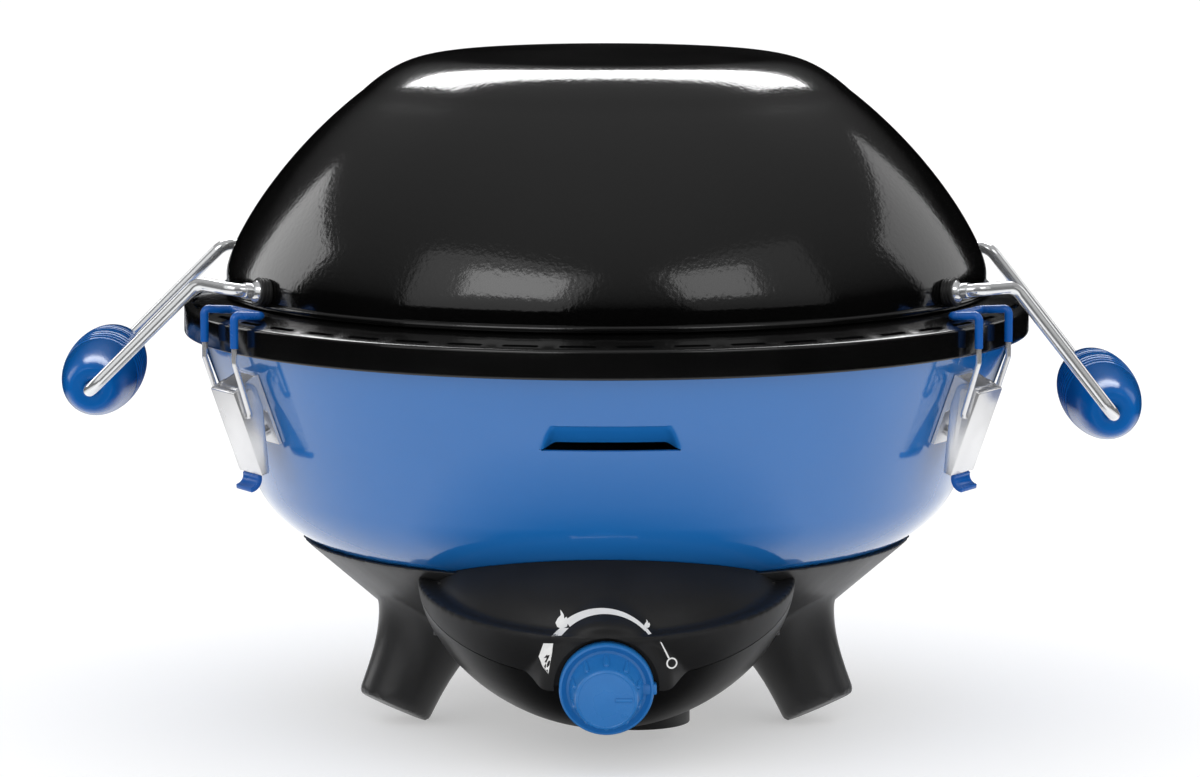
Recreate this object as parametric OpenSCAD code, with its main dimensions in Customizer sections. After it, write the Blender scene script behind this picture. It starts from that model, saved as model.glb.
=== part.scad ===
// Portable gas camping grill: round lidded tub on a three-legged cradle.
// Millimetres, Z up, standing on Z = 0, the knob faces -Y.

/* [Rim] */
// Outside radius of the slotted rim ring
rim_r = 208; // [190:1:230]
// Height of the lower edge of the rim ring
rim_z = 186.5; // [170:0.5:205]
// Height of the upright band of the rim ring
rim_band_h = 13.5; // [10:0.5:18]
// Width of the sloping ledge from the band to the lid
rim_ledge_w = 21; // [19:0.5:24]
// Rise of the sloping ledge from the band to the lid seat
rim_ledge_rise = 5.5; // [4:0.5:8]
// Number of vent slots round the ledge
vent_count = 48; // [24:1:60]
// Length of one vent slot
vent_len = 17; // [10:0.5:19]
// Width of one vent slot
vent_w = 2.6; // [1.5:0.1:4]

/* [Lid] */
// Height of the lid from its edge to the crown
lid_h = 117.5; // [95:0.5:130]
// Radius of the flat top of the lid
lid_top_r = 84; // [70:1:100]
// Sheet thickness of lid, rim ring and bowl
sheet_t = 1.2; // [0.8:0.1:2]

/* [Handles] */
// Radius of the handle wire
wire_r = 3.1; // [2.5:0.1:3.5]
// Distance from the rim ring to the axis of the left grip
grip_out_left = 40; // [36:1:48]
// Distance from the rim ring to the axis of the right grip
grip_out_right = 35.5; // [32:0.5:48]
// Drop of the left grip axis below the handle bend
grip_drop_left = 52.8; // [46:0.2:62]
// Drop of the right grip axis below the handle bend
grip_drop_right = 62.6; // [54:0.2:68]
// Greatest radius of a grip
grip_r = 19.2; // [17:0.1:23]
// Half the length of a grip
grip_half = 72; // [60:1:79]
// Number of grooves round the middle of a grip
grip_grooves = 8; // [4:1:10]

/* [Bowl and cradle] */
// Height of the outside of the bowl's flat bottom
bowl_bottom_z = 74; // [70:0.5:78]
// Slope of the bowl's side, in degrees from upright
bowl_slope = 20.3; // [16:0.1:22]
// Height of the cradle's upper rim above the bowl's bottom
cradle_up = 11.5; // [9:0.5:13]
// Wall thickness of the mouldings
wall = 3; // [2.4:0.1:3.6]
// Radius of a leg at its foot
leg_r = 18.5; // [15:0.5:21]
// Splay of the legs, in degrees from upright
leg_splay = 27; // [22:0.5:30]
// Distance of a foot's centre inside the rim ring
foot_in = 88; // [80:1:96]

/* [Control pod] */
// Distance of the pod's upright axis inside the rim ring
pod_in = 96; // [92:1:100]
// Greatest radius of the pod
pod_r = 90; // [84:1:94]
// Height of the lowest point of the pod
pod_bottom_z = 8; // [6:0.5:12]
// Radius of the knob's skirt
knob_r = 22; // [19:0.5:23]
// Length of the knob in front of its skirt's middle
knob_len = 20; // [16:0.5:22]
// Downward tilt of the knob axis in degrees
knob_tilt = 7; // [3:0.5:10]

/* [Latches] */
// Width of a latch lever
lever_w = 24.4; // [22:0.2:27]
// Length of a latch lever below its pivot
lever_len = 40; // [34:1:44]
// Radius of the bail wire
bail_r = 1.35; // [1.1:0.05:1.6]
// Outside radius of the sleeve on the bail
sleeve_r = 2; // [1.8:0.05:2.3]

/* [Cooking grid] */
// Number of bars in the cooking grid
grid_bars = 21; // [11:2:25]
// Radius of one grid bar
grid_bar_r = 1.7; // [1.2:0.1:2]

/* [Hidden] */
$fn = 64;
eps = 0.05;
fit = 0.06;
big = 900;
round_fn = 96;
fine_fn = 360;
wire_fn = 40;
// a rod runs this far into its bends, and is this much thinner than they are
lap = 0.2;
step = 0.015;
// cuts run this far past the faces that they open
over = 1;

// rim ring heights
lid_r = rim_r - rim_ledge_w;
ledge_z = rim_z + rim_band_h;
seat_z = ledge_z + rim_ledge_rise;
lip_r = lid_r - 1.8;
lip_w = 2.6;
lip_h = 2.8;
grid_seat_z = seat_z - 9.4;
grid_seat_w = 17.2;
grid_seat_in = lip_r - grid_seat_w;
lid_clear = 0.2;
rim_edge = 0.8;
ledge_slope = atan(rim_ledge_rise / (rim_r - lid_r - lid_clear));
vent_r = (rim_r + lid_r) / 2 + 5;

// lid
lid_z = seat_z + lid_clear;
lid_top_z = lid_z + lid_h;
edge_bead = 1.8;
// crown of the top, shoulder below it, pull of the side's curve and upright band at the edge
crown = 2.1;
shoulder = [36, 19.75];
side_pull = [24.5, 52.5];
side_up = 12.75;
lid_band = 9;

// handles
stud_az = 60;
stud_tilt = 8;
stud_z = lid_z + 8.3;
stud_out = 17;
spacer_r = 6.5;
spacer_l = 5.4;
ridge = spacer_l / 3;
washer_r = 5.3;
washer_l = 3.6;
collar_r = 3.9;
collar_l = 3;
nut_r = 5.6;
nut_l = 4;
arm_bend = 8;
bend_x = lid_r + arm_bend;
grip_x_left = rim_r + grip_out_left;
grip_x_right = rim_r + grip_out_right;
arm_rise_left = 2;
arm_rise_right = 0;
// the arms stand this far behind their studs, so that a latch's bail swings past them
arm_in = 13;
stud_in = 9;

// bowl
bead_r = 2.2;
bead_c = [rim_r - 4.5, ledge_z - 2.62];
bowl_top = [rim_r - 3.6, ledge_z - 3.6];
cone_low_z = bowl_bottom_z + 38;
cone_low = [bowl_top.x - (bowl_top.y - cone_low_z) * tan(bowl_slope), cone_low_z];
floor_in = 103;
bowl_floor_r = rim_r - floor_in;
neck_hole_r = 14;
floor_screw_r = 2;

// lanced slot at the front, the sheet above it pressed in as a ramp
slot_x = 2;
slot_half = 32.6;
slot_z = 151;
slot_top_z = slot_z + 12;
ramp_z = slot_z + 4;
ramp_depth = 6;

// cradle
cradle_z = bowl_bottom_z + cradle_up;
cradle_lip = wall * 1.1;
cradle_clear = 0.4;
cradle_r = bowl_r_at(cradle_z) + cradle_lip + cradle_clear;
cradle_floor_z = 38;
knee_step = [30.7, 26.5];
low_step = [48, 41.5];
floor_step = 56;
cradle_knee = [cradle_r, cradle_z] - knee_step;
cradle_low = [cradle_r, cradle_z] - low_step;
cradle_floor_r = cradle_r - floor_step;
foot_r = rim_r - foot_in;
foot_land = 1.2;
foot_z = leg_r * sin(leg_splay) - foot_land;
leg_len = 78;
leg_swell = [1.5, 5, 34];
leg_bore_l = 42;
leg_reach_h = 12;
leg_reach_w = 22;
window_w = 48;
window_h = 22;
post_ring = 75;
post_r = 7;
post_az = [60, 180, 300];

// pod
pod_y = rim_r - pod_in;
pod_wall = 2.5;
pod_top_z = bowl_bottom_z + 8;
crease_z = pod_top_z - 1;
crease_tilt = 10;
dome_r = pod_r - 2;
seam_side_z = pod_top_z - 5;
seam_tilt = 24.4;
seam_gap = 0.1;
pod_gap = 0.3;
pod_back_y = -pod_y + 46;
fascia_back_y = pod_back_y - 4;
window_y = -pod_back_y + 14;
knob_y = pod_y + pod_r - 9;
knob_z = pod_bottom_z + 33.6;
collar_out_r = knob_r + 8;
recess_r = knob_r + 2.5;
recess_front = 1;
recess_floor = -3;
collar_deep = 24;
hub_r = knob_r - 2;
stem_r = 3;
stem_clear = 0.8;
stem_top = knob_len - 6;
knob_ribs = 8;
knob_rib_r = 1.5;
cap_r = knob_r - 7.4;

// screws that hold the pod to the cradle and the fascia to the belly, as [x, y, top]
cradle_screw_y = -pod_y + 17;
fascia_screw_y = -pod_y - 14;
pod_screw_at = [[55, cradle_screw_y, 55], [78, fascia_screw_y, 80]];
pod_boss_r = 6.5;
pod_screw_r = 2;
screw_head_r = 4;
screw_head_h = 2.4;
screw_sink = 7;
screw_clear = 0.1;

// gas train
tap_r = 11;
tap_front = recess_floor - pod_wall;
tap_back = -48;
tap_neck_r = 6;
tap_neck_l = 20;
tap_tail_l = 8;
tap_bore = 20;
hub_deep = tap_neck_l - tap_front - eps;
tap_tail_r = 5.5;
tap_inlet = 12;
gas_r = 2;
jet_r = 4;
jet_l = 14;
inlet_x = 14;
inlet_y = -pod_y + 17;
inlet_r = 26;
inlet_z = 7.5;
inlet_top_z = 24;
nipple_z = 17.2;
nipple_r = 6.58;
nipple_bore_r = 2.4;
shoulder_w = 3.6;
riser_r = 8;
riser_h = 17.5;
shoulder_y = pod_back_y + 6;
nipple_end_y = shoulder_y + 18;
pipe_r = 3;
pipe_bend = 5;
mix_z = 54;
mix_r = 8;
mix_t = 1;
mix_mouth_y = -pod_y - 16;
burner_r = 42;
burner_z = bowl_bottom_z + 8;
burner_h = 16;
plate_z = bowl_bottom_z + sheet_t + eps;
plate_t = 2;
plate_r = 38;
burner_hub_r = 20;
burner_screw_x = 30;
burner_screw_r = 2;
burner_nut_h = 3.5;
port_count = 18;
port_r = 1.1;

// spark
spark_r = 6;
spark_l = 26;
spark_x = -(tap_r + spark_r + screw_clear);
spark_back = tap_back - 6;
electrode = [-20, -24];
electrode_r = 3;
electrode_low = bowl_bottom_z - 8;
lead_r = 1.5;
lead_z = mix_z - 4;
lead_dip = 12;
lead_run = 16;

// drip pan
pan_z = bowl_bottom_z + 38;
pan_depth = 16;
pan_r = cone_low.x - sheet_t / cos(bowl_slope) - 0.25;
pan_trough_r = pan_r - 22;
pan_hole_r = 74;
pan_t = 1;

// grid
grid_ring_w = 2.3;
grid_ring_r = grid_seat_in + grid_ring_w + over / 2;
grid_cross_y = 60;
grid_cross_r = grid_bar_r - 0.3;
grid_cross_drop = 0.6;

// latches: pivot of lever (p) and of bail (q) as [radius, height]
latch_az = [-60, 60, 180];
pivot_z = rim_z - 18.5;
wall_at_pivot = bowl_top.x - (bowl_top.y - pivot_z) * tan(bowl_slope);
pivot_r = wall_at_pivot + 8.9;
bail_z = pivot_z - 11;
bail_pivot_r = pivot_r + 0.6;
wall_q = -(pivot_r - wall_at_pivot) * cos(bowl_slope);
plate_q = wall_q + 0.02;
lever_t = 1.4;
tip_in = 4;
web_q = 6.4;
ear_r = 4.7;
pin_r = 1.8;
ear_t = 1.5;
bracket_half = lever_w / 2 - lever_t - 0.4;
bail_leg_r = rim_r + 4.2;
hook_r = rim_r - 10.5;
hook_z = ledge_z + (rim_r - hook_r) * tan(ledge_slope) + sleeve_r + 0.25;
bail_half = 16;
bail_foot = lever_w / 2 + 2.8;
bail_bend = 2.4;
bail_kink = 3;
hook_rise = 1.2;
rivet_u = [-9, -24];
rivet_r = 1.5;
rivet_head_r = 2.6;
rivet_head_h = 1.3;
bracket_low = -30;
bracket_h = 36;
sleeve_z = rim_z + 4;
// bail pivot in the lever's own [outward, up] frame
bail_q = [(bail_pivot_r - pivot_r) * cos(bowl_slope) - (bail_z - pivot_z) * sin(bowl_slope),
    (bail_pivot_r - pivot_r) * sin(bowl_slope) + (bail_z - pivot_z) * cos(bowl_slope)];

left_path = handle_path(-1, grip_x_left, grip_drop_left, arm_rise_left);
right_path = handle_path(1, grip_x_right, grip_drop_right, arm_rise_right);

// Curves

function bez(p, n) = [for (i = [0:n])
    let (t = i / n, s = 1 - t)
    s * s * s * p[0] + 3 * s * s * t * p[1] + 3 * s * t * t * p[2] + t * t * t * p[3]];

// path moved sideways by d, to the right of its direction
function inset(p, d) = [for (i = [0:len(p) - 1])
    let (a = p[max(i - 1, 0)], b = p[min(i + 1, len(p) - 1)], t = (b - a) / norm(b - a))
    [max(0, p[i].x + d * t.y), p[i].y - d * t.x]];

function rev(p) = [for (i = [len(p) - 1:-1:0]) p[i]];

function unit(v) = v / norm(v);

// Bent rod through the given corners, with round bends

module rod(a, b, r) {
    v = b - a;
    translate(a)
        rotate([0, acos(v.z / norm(v)), atan2(v.y, v.x)])
            cylinder(r = r, h = norm(v), $fn = wire_fn);
}

function bend_cut(p, i, bend) =
    let (u = unit(p[i] - p[i - 1]), w = unit(p[i + 1] - p[i]))
    bend * tan(acos(min(1, max(-1, u * w))) / 2);

module elbow(p, i, r, bend) {
    u = unit(p[i] - p[i - 1]);
    w = unit(p[i + 1] - p[i]);
    turn = acos(min(1, max(-1, u * w)));
    axis = unit(cross(u, w));
    side = cross(axis, u);
    c = p[i] - u * bend * tan(turn / 2) + side * bend;
    o = -side;
    multmatrix([[o.x, u.x, axis.x, c.x], [o.y, u.y, axis.y, c.y], [o.z, u.z, axis.z, c.z], [0, 0, 0, 1]])
        rotate_extrude(angle = turn, $fn = round_fn)
            translate([bend, 0])
                circle(r = r, $fn = wire_fn);
}

module bent_rod(p, r, bend) {
    last = len(p) - 1;
    for (i = [0:last - 1]) {
        u = unit(p[i + 1] - p[i]);
        from = i == 0 ? 0 : bend_cut(p, i, bend) - lap;
        to = i == last - 1 ? 0 : bend_cut(p, i + 1, bend) - lap;
        rod(p[i] + u * from, p[i + 1] - u * to, r - step);
    }
    for (i = [1:last - 1])
        elbow(p, i, r, bend);
}

module ring_bead(r, z, bead) {
    translate([0, 0, z])
        rotate_extrude($fn = round_fn)
            translate([r, 0])
                circle(r = bead, $fn = wire_fn);
}

// turns +X to the compass direction az, counted from the front towards +X
module at_az(az) {
    rotate([0, 0, az - 90])
        children();
}

// Bowl

function bowl_path() = concat(
    [bowl_top],
    bez([cone_low, cone_low - 20 * [sin(bowl_slope), cos(bowl_slope)],
        [bowl_floor_r + 33, bowl_bottom_z], [bowl_floor_r, bowl_bottom_z]], 14),
    [[0, bowl_bottom_z]]);

module bowl_solid(grow) {
    p = inset(bowl_path(), -grow);
    rotate_extrude($fn = round_fn)
        polygon(concat([[0, bowl_top.y]], p));
}

// outside radius of the bowl at a height on its rounded lower edge
function bowl_r_at(z) = lookup(z, [for (p = rev(bowl_path())) [p.y, p.x]]);

function wall_r(z) = bowl_top.x - (bowl_top.y - z) * tan(bowl_slope);

module floor_hole(r) {
    translate([0, 0, bowl_bottom_z - over])
        cylinder(r = r, h = sheet_t + 2 * over);
}

module bowl() {
    color("royalblue") {
        difference() {
            union() {
                rotate_extrude($fn = round_fn)
                    polygon(concat(bowl_path(), rev(inset(bowl_path(), sheet_t))));
                ring_bead(bead_c.x, bead_c.y, bead_r);
            }
            translate([slot_x - slot_half, -rim_r, slot_z])
                cube([2 * slot_half, rim_r / 2, slot_top_z - slot_z]);
            floor_hole(neck_hole_r);
            for (az = post_az)
                at_az(az)
                    translate([post_ring, 0, 0])
                        floor_hole(floor_screw_r + screw_clear);
            for (az = latch_az)
                latch_frame(az)
                    for (u = rivet_u)
                        translate([wall_q - sheet_t - over, 0, u])
                            rotate([0, 90, 0])
                                cylinder(r = rivet_r + 0.02, h = sheet_t + 2 * over);
            for (x = [-burner_screw_x, burner_screw_x])
                translate([x, 0, 0])
                    floor_hole(burner_screw_r + screw_clear);
            translate(electrode)
                floor_hole(electrode_r + screw_clear);
        }
        louvre();
    }
}

// ramp pressed in above the front slot, with its closed ends
module louvre() {
    top = [wall_r(slot_top_z) - eps, slot_top_z];
    low = [wall_r(ramp_z) - ramp_depth, ramp_z];
    root = [wall_r(slot_top_z + over) - eps, slot_top_z + over];
    back = [sheet_t, 0];
    front_arc(slot_half)
        polygon([root, top, low, low - back, root - 2 * back]);
    difference() {
        front_arc(slot_half + sheet_t)
            polygon([root, [wall_r(ramp_z) - eps, ramp_z], low, low - back, root - 2 * back]);
        translate([slot_x - slot_half, -rim_r, 0])
            cube([2 * slot_half, rim_r, big]);
    }
}

// the front stretch of a turned profile, as wide as the slot
module front_arc(half) {
    intersection() {
        rotate_extrude($fn = round_fn)
            children();
        translate([slot_x - half, -rim_r, 0])
            cube([2 * half, rim_r / 2, big]);
    }
}

// Rim ring with vent slots

module rim_ring() {
    color("dimgray")
    difference() {
        rotate_extrude($fn = round_fn)
            polygon([
                [rim_r, rim_z],
                [rim_r, ledge_z - rim_edge],
                [rim_r - rim_edge, ledge_z + rim_edge * tan(ledge_slope)],
                [lid_r + lid_clear, seat_z],
                [lip_r, seat_z],
                [lip_r, seat_z + lip_h],
                [lip_r - lip_w, seat_z + lip_h],
                [lip_r - lip_w, grid_seat_z],
                [grid_seat_in, grid_seat_z],
                [grid_seat_in, grid_seat_z - sheet_t],
                [lip_r - sheet_t, grid_seat_z - sheet_t],
                [lip_r - sheet_t, seat_z - sheet_t],
                [lid_r + lid_clear, seat_z - sheet_t],
                [rim_r - sheet_t, ledge_z - sheet_t],
                [rim_r - sheet_t, rim_z]]);
        for (i = [0:vent_count - 1])
            rotate([0, 0, (i + 0.5) * 360 / vent_count])
                translate([vent_r - vent_w / 2, -vent_len / 2, ledge_z - sheet_t - over])
                    cube([vent_w, vent_len, rim_ledge_rise + sheet_t + 2 * over]);
    }
}

// Cradle with three legs

function cradle_path() = [[cradle_r, cradle_z], cradle_knee, cradle_low,
    [cradle_floor_r, cradle_floor_z], [0, cradle_floor_z]];

module cradle_solid(grow) {
    rotate_extrude($fn = round_fn)
        polygon(concat([[0, cradle_z]], inset(cradle_path(), -grow)));
}

module leg_solid() {
    rotate_extrude()
        polygon(concat(
            [[0, 0]],
            [for (p = bez([[leg_r, 0], [leg_r + leg_swell[0], leg_len * 0.45],
                [leg_r + leg_swell[1], leg_len * 0.6], [leg_r + leg_swell[2], leg_len]], 12))
                p],
            [[0, leg_len]]));
}

module at_leg(az) {
    at_az(az)
        translate([foot_r, 0, foot_z])
            rotate([0, -leg_splay, 0])
                children();
}

module base_cradle() {
    color("darkslategray")
    difference() {
        union() {
            difference() {
                union() {
                    cradle_solid(0);
                    difference() {
                        intersection() {
                            union() {
                                for (az = latch_az)
                                    at_leg(az)
                                        leg_solid();
                            }
                            cradle_reach();
                        }
                        pod_solid(-pod_gap);
                    }
                }
                difference() {
                    rotate_extrude($fn = round_fn)
                        polygon(concat([[0, cradle_z + over]],
                            [[cradle_r - cradle_lip, cradle_z + over]],
                            inset(cradle_path(), wall)));
                    for (az = post_az)
                        at_az(az)
                            translate([post_ring, 0, 0])
                                cylinder(r = post_r, h = bowl_bottom_z - eps);
                }
                for (az = latch_az)
                    at_leg(az)
                        leg_bore();
            }
        }
        translate([-big / 2, -big / 2, -big])
            cube([big, big, big]);
        for (az = post_az)
            at_az(az)
                translate([post_ring, 0, cradle_floor_z - over])
                    cylinder(r = floor_screw_r, h = big);
        bowl_solid(eps);
        gas_window();
        at_pod_screws(0)
            cylinder(r = pod_screw_r + screw_clear, h = pod_screw_at[0].z + over);
    }
}

// the cradle's upper rim limits how far a leg flares up
module cradle_reach() {
    union() {
        cylinder(r = foot_r + 2 * leg_r, h = cradle_floor_z + leg_reach_h);
        translate([0, 0, cradle_floor_z])
            cylinder(r1 = cradle_floor_r + leg_reach_w, r2 = cradle_r, h = cradle_z - cradle_floor_z - 1);
    }
}

module leg_bore() {
    translate([0, 0, wall])
        cylinder(r1 = leg_r - wall, r2 = leg_r - wall + leg_swell[0], h = leg_bore_l);
}

module gas_window() {
    translate([-window_w / 2, -cradle_r, mix_z - window_h / 2])
        cube([window_w, cradle_r - window_y, window_h]);
}

// Control pod

function belly_path(s) = bez([[0, pod_bottom_z + s], [pod_r / 2, pod_bottom_z + s],
    [pod_r - s, pod_bottom_z + 37 + s * 0.6], [pod_r - s, pod_top_z]], 16);

module below_crease(drop) {
    translate([0, 0, crease_z - drop])
        rotate([crease_tilt, 0, 0])
            translate([-big / 2, -big / 2, -big])
                cube([big, big, big]);
}

module above_seam(gap) {
    translate([0, -pod_y, seam_side_z + gap])
        rotate([seam_tilt, 0, 0])
            translate([-big / 2, -big / 2, 0])
                cube([big, big, big]);
}

module below_seam(gap) {
    translate([0, -pod_y, seam_side_z - gap])
        rotate([seam_tilt, 0, 0])
            translate([-big / 2, -big / 2, -big])
                cube([big, big, big]);
}

module pod_solid(s) {
    translate([0, -pod_y, 0]) {
        intersection() {
            rotate_extrude($fn = round_fn)
                polygon(concat(belly_path(s), [[0, pod_top_z]]));
            below_crease(s);
        }
        translate([0, 0, crease_z])
            rotate([crease_tilt, 0, 0])
                rotate_extrude($fn = round_fn)
                    polygon(concat(
                        [[0, -20], [dome_r - s * 1.4 - 4, -20]],
                        [for (p = bez([[dome_r, 0], [dome_r - 5, 4], [dome_r - 26, 15],
                            [dome_r - 48, 27]], 10)) [p.x - s, p.y - s]],
                        [[0, 34 - s]]));
    }
}

module at_knob() {
    translate([0, -knob_y, knob_z])
        rotate([90 + knob_tilt, 0, 0])
            children();
}

module pod_outside() {
    cradle_solid(pod_gap);
    bowl_solid(2 * pod_gap);
    translate([0, 0, cradle_z - 2 * pod_gap])
        cylinder(r = cradle_r + pod_gap, h = 3 * pod_gap);
}

// both screws of pair i, one each side
module at_pod_screws(i) {
    for (side = [-1, 1])
        translate([side * pod_screw_at[i].x, pod_screw_at[i].y, 0])
            children();
}

// height of the belly's outside at a screw of pair i
function skin_z(i) = lookup(norm([pod_screw_at[i].x, pod_screw_at[i].y + pod_y]), belly_path(0));

function screw_seat_z(i) = skin_z(i) + screw_sink;

module stem_hole() {
    at_knob()
        translate([0, 0, -pod_r])
            cylinder(r = stem_r + stem_clear, h = pod_r + knob_len);
}

module control_fascia() {
    color("dimgray")
    difference() {
        intersection() {
            difference() {
                union() {
                    pod_solid(0);
                    at_knob()
                        translate([0, 0, -collar_deep])
                            cylinder(r = collar_out_r, h = collar_deep + recess_front);
                }
                difference() {
                    pod_solid(pod_wall);
                    at_pod_screws(1)
                        cylinder(r = pod_boss_r, h = big);
                }
                at_knob()
                    translate([0, 0, -pod_r])
                        cylinder(r = collar_out_r - pod_wall, h = pod_r + tap_front);
                at_knob()
                    translate([0, 0, recess_floor])
                        cylinder(r = recess_r, h = collar_deep);
                stem_hole();
            }
            above_seam(seam_gap);
            translate([-big / 2, -big + fascia_back_y, 0])
                cube([big, big, big]);
        }
        pod_outside();
        at_pod_screws(1)
            cylinder(r = pod_screw_r + screw_clear, h = pod_screw_at[1].z + over);
    }
}

module control_belly() {
    color("darkslategray")
    difference() {
        intersection() {
            difference() {
                union() {
                    pod_solid(0);
                    at_knob()
                        translate([0, 0, -hub_deep])
                            cylinder(r = hub_r, h = hub_deep + recess_floor);
                }
                difference() {
                    pod_solid(pod_wall);
                    for (i = [0, 1])
                        at_pod_screws(i)
                            cylinder(r = pod_boss_r, h = big);
                    translate([-big / 2, pod_back_y - pod_wall, 0])
                        cube([big, pod_wall + over, big]);
                }
                stem_hole();
                at_knob()
                    translate([0, 0, -pod_r])
                        cylinder(r = tap_neck_r + screw_clear, h = pod_r + tap_front);
            }
            below_seam(seam_gap);
            translate([-big / 2, -big + pod_back_y, 0])
                cube([big, big, big]);
        }
        pod_outside();
        translate([inlet_x, inlet_y, 0])
            cylinder(r = inlet_r + pod_gap / 2, h = inlet_top_z);
        for (i = [0, 1])
            at_pod_screws(i) {
                cylinder(r = pod_screw_r + screw_clear, h = big);
                cylinder(r = screw_head_r + pod_gap, h = screw_seat_z(i));
            }
        translate([inlet_x, pod_back_y - 2 * pod_wall, nipple_z])
            rotate([-90, 0, 0])
                cylinder(r = nipple_r + screw_clear, h = 4 * pod_wall);
    }
}

module control_knob() {
    color("dodgerblue")
    at_knob()
    difference() {
        union() {
            rotate_extrude($fn = round_fn)
                polygon(concat(
                    [[0, recess_floor + 0.5], [knob_r - 0.8, recess_floor + 0.5]],
                    [[knob_r, recess_floor + 1.3], [knob_r, 3.4], [knob_r - 0.8, 4.2]],
                    bez([[knob_r - 1.4, 4.2], [knob_r - 3.4, 2.6], [knob_r - 5, 2.8],
                        [knob_r - 5.8, 6]], 6),
                    [[cap_r, knob_len - 1.6], [cap_r - 0.5, knob_len - 0.5], [cap_r - 1.6, knob_len]],
                    [[0, knob_len]]));
            for (i = [0:knob_ribs - 1])
                rotate([0, 0, i * 360 / knob_ribs])
                    rod([knob_r - 5.4, 0, 2], [cap_r, 0, knob_len - 2.2], knob_rib_r);
            pointer();
        }
        translate([0, 0, recess_floor])
            cylinder(r = stem_r + 0.01, h = stem_top - recess_floor);
    }
}

// pointer ridge from the cap to the skirt's edge
module pointer() {
    translate([cap_r, -1.8, recess_floor + 1.3])
        cube([knob_r - cap_r + 1.2, 3.6, 8]);
}

module tap_stem() {
    color("goldenrod")
    at_knob()
        translate([0, 0, tap_back + tap_bore])
            cylinder(r = stem_r, h = stem_top - 0.2 - tap_back - tap_bore);
}

// Gas train

module gas_tap() {
    color("goldenrod")
    at_knob()
    difference() {
        union() {
            translate([0, 0, tap_back])
                cylinder(r = tap_r, h = tap_front - tap_neck_l - tap_back);
            translate([0, 0, tap_front - tap_neck_l - over])
                cylinder(r = tap_neck_r, h = tap_neck_l + over - eps);
            translate([0, 0, tap_back - tap_tail_l])
                cylinder(r = tap_tail_r, h = tap_tail_l + over);
        }
        translate([0, 0, tap_back + tap_bore - over])
            cylinder(r = stem_r + fit, h = big);
        translate([0, 0, tap_back - tap_tail_l - over])
            cylinder(r = gas_r, h = tap_tail_l + tap_inlet + 2 * over);
        translate([0, 0, tap_back + tap_inlet])
            rotate([0, 90, 0])
                cylinder(r = gas_r, h = tap_r + over);
    }
}

module gas_inlet_cup() {
    color("black")
    difference() {
        translate([inlet_x, inlet_y, inlet_z])
            cylinder(r = inlet_r, h = inlet_top_z - inlet_z - eps);
        translate([inlet_x, inlet_y, inlet_z + wall])
            cylinder(r = inlet_r - wall, h = inlet_top_z);
        translate([inlet_x, inlet_y, nipple_z])
            rotate([-90, 0, 0])
                cylinder(r = nipple_r + eps, h = inlet_r + over);
    }
}

module inlet_nipple() {
    color("goldenrod")
    difference() {
        union() {
            translate([inlet_x, inlet_y, nipple_z])
                rotate([-90, 0, 0])
                    cylinder(r = nipple_r, h = nipple_end_y - inlet_y);
            translate([inlet_x, pod_back_y + eps, nipple_z])
                rotate([-90, 0, 0])
                    cylinder(r = nipple_r + shoulder_w, h = shoulder_y - pod_back_y - eps);
            translate([inlet_x, inlet_y, inlet_z + wall + eps])
                cylinder(r = riser_r, h = riser_h);
        }
        translate([inlet_x, inlet_y, nipple_z])
            rotate([-90, 0, 0])
                cylinder(r = nipple_bore_r, h = nipple_end_y - inlet_y + over);
        translate([inlet_x, inlet_y, nipple_z])
            cylinder(r = pipe_r + 0.02, h = riser_h);
    }
}

// point on the knob's axis, z in front of the skirt's middle
function on_axis(z) = [0, -knob_y - z * cos(knob_tilt), knob_z - z * sin(knob_tilt)];

module feed_pipe() {
    tap = on_axis(tap_back + tap_inlet);
    side = tap_r + 7;
    top = inlet_z + wall + riser_h + pipe_bend + over;
    p = [[inlet_x, inlet_y, nipple_z + pipe_r], [inlet_x, inlet_y, top],
        [side, tap.y, top], [side, tap.y, tap.z], [tap_r - gas_r, tap.y, tap.z]];
    color("orange")
    difference() {
        bent_rod(p, pipe_r, pipe_bend);
        at_knob()
            translate([0, 0, tap_back])
                cylinder(r = tap_r + 0.02, h = tap_front - tap_neck_l - tap_back);
    }
}

module gas_injector() {
    color("gold")
    at_knob()
        translate([0, 0, tap_back - tap_tail_l - jet_l])
            difference() {
                cylinder(r = jet_r, h = jet_l - eps);
                translate([0, 0, -over])
                    cylinder(r = 0.6, h = jet_l + 2 * over);
            }
}

module mixing_tube() {
    bend = 14;
    flare = 2.5;
    p = [[0, mix_mouth_y, mix_z], [0, 0, mix_z], [0, 0, burner_z - eps]];
    color("silver")
    difference() {
        union() {
            bent_rod(p, mix_r, bend);
            translate(p[0])
                rotate([-90, 0, 0])
                    cylinder(r1 = mix_r + flare, r2 = mix_r, h = bend);
        }
        bent_rod([p[0] - [0, over, 0], p[1], p[2] + [0, 0, over]], mix_r - mix_t, bend);
        translate(p[0] - [0, eps, 0])
            rotate([-90, 0, 0])
                cylinder(r1 = mix_r + flare - mix_t, r2 = mix_r - mix_t, h = bend - mix_t);
    }
}

module burner_head() {
    roof = 1.5;
    color("slategray")
    difference() {
        translate([0, 0, burner_z])
            cylinder(r = burner_r, h = burner_h);
        translate([0, 0, burner_z + roof])
            cylinder(r = burner_r - 2, h = burner_h - 2 * roof);
        translate([0, 0, burner_z - over])
            cylinder(r = mix_r - mix_t, h = roof + 2 * over);
        for (i = [0:port_count - 1])
            rotate([0, 0, (i + 0.5) * 360 / port_count])
                translate([burner_r - 2 - over, 0, burner_z + burner_h * 0.62])
                    rotate([0, 90, 0])
                        cylinder(r = port_r, h = 2 + 2 * over, $fn = 24);
    }
}

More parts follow.
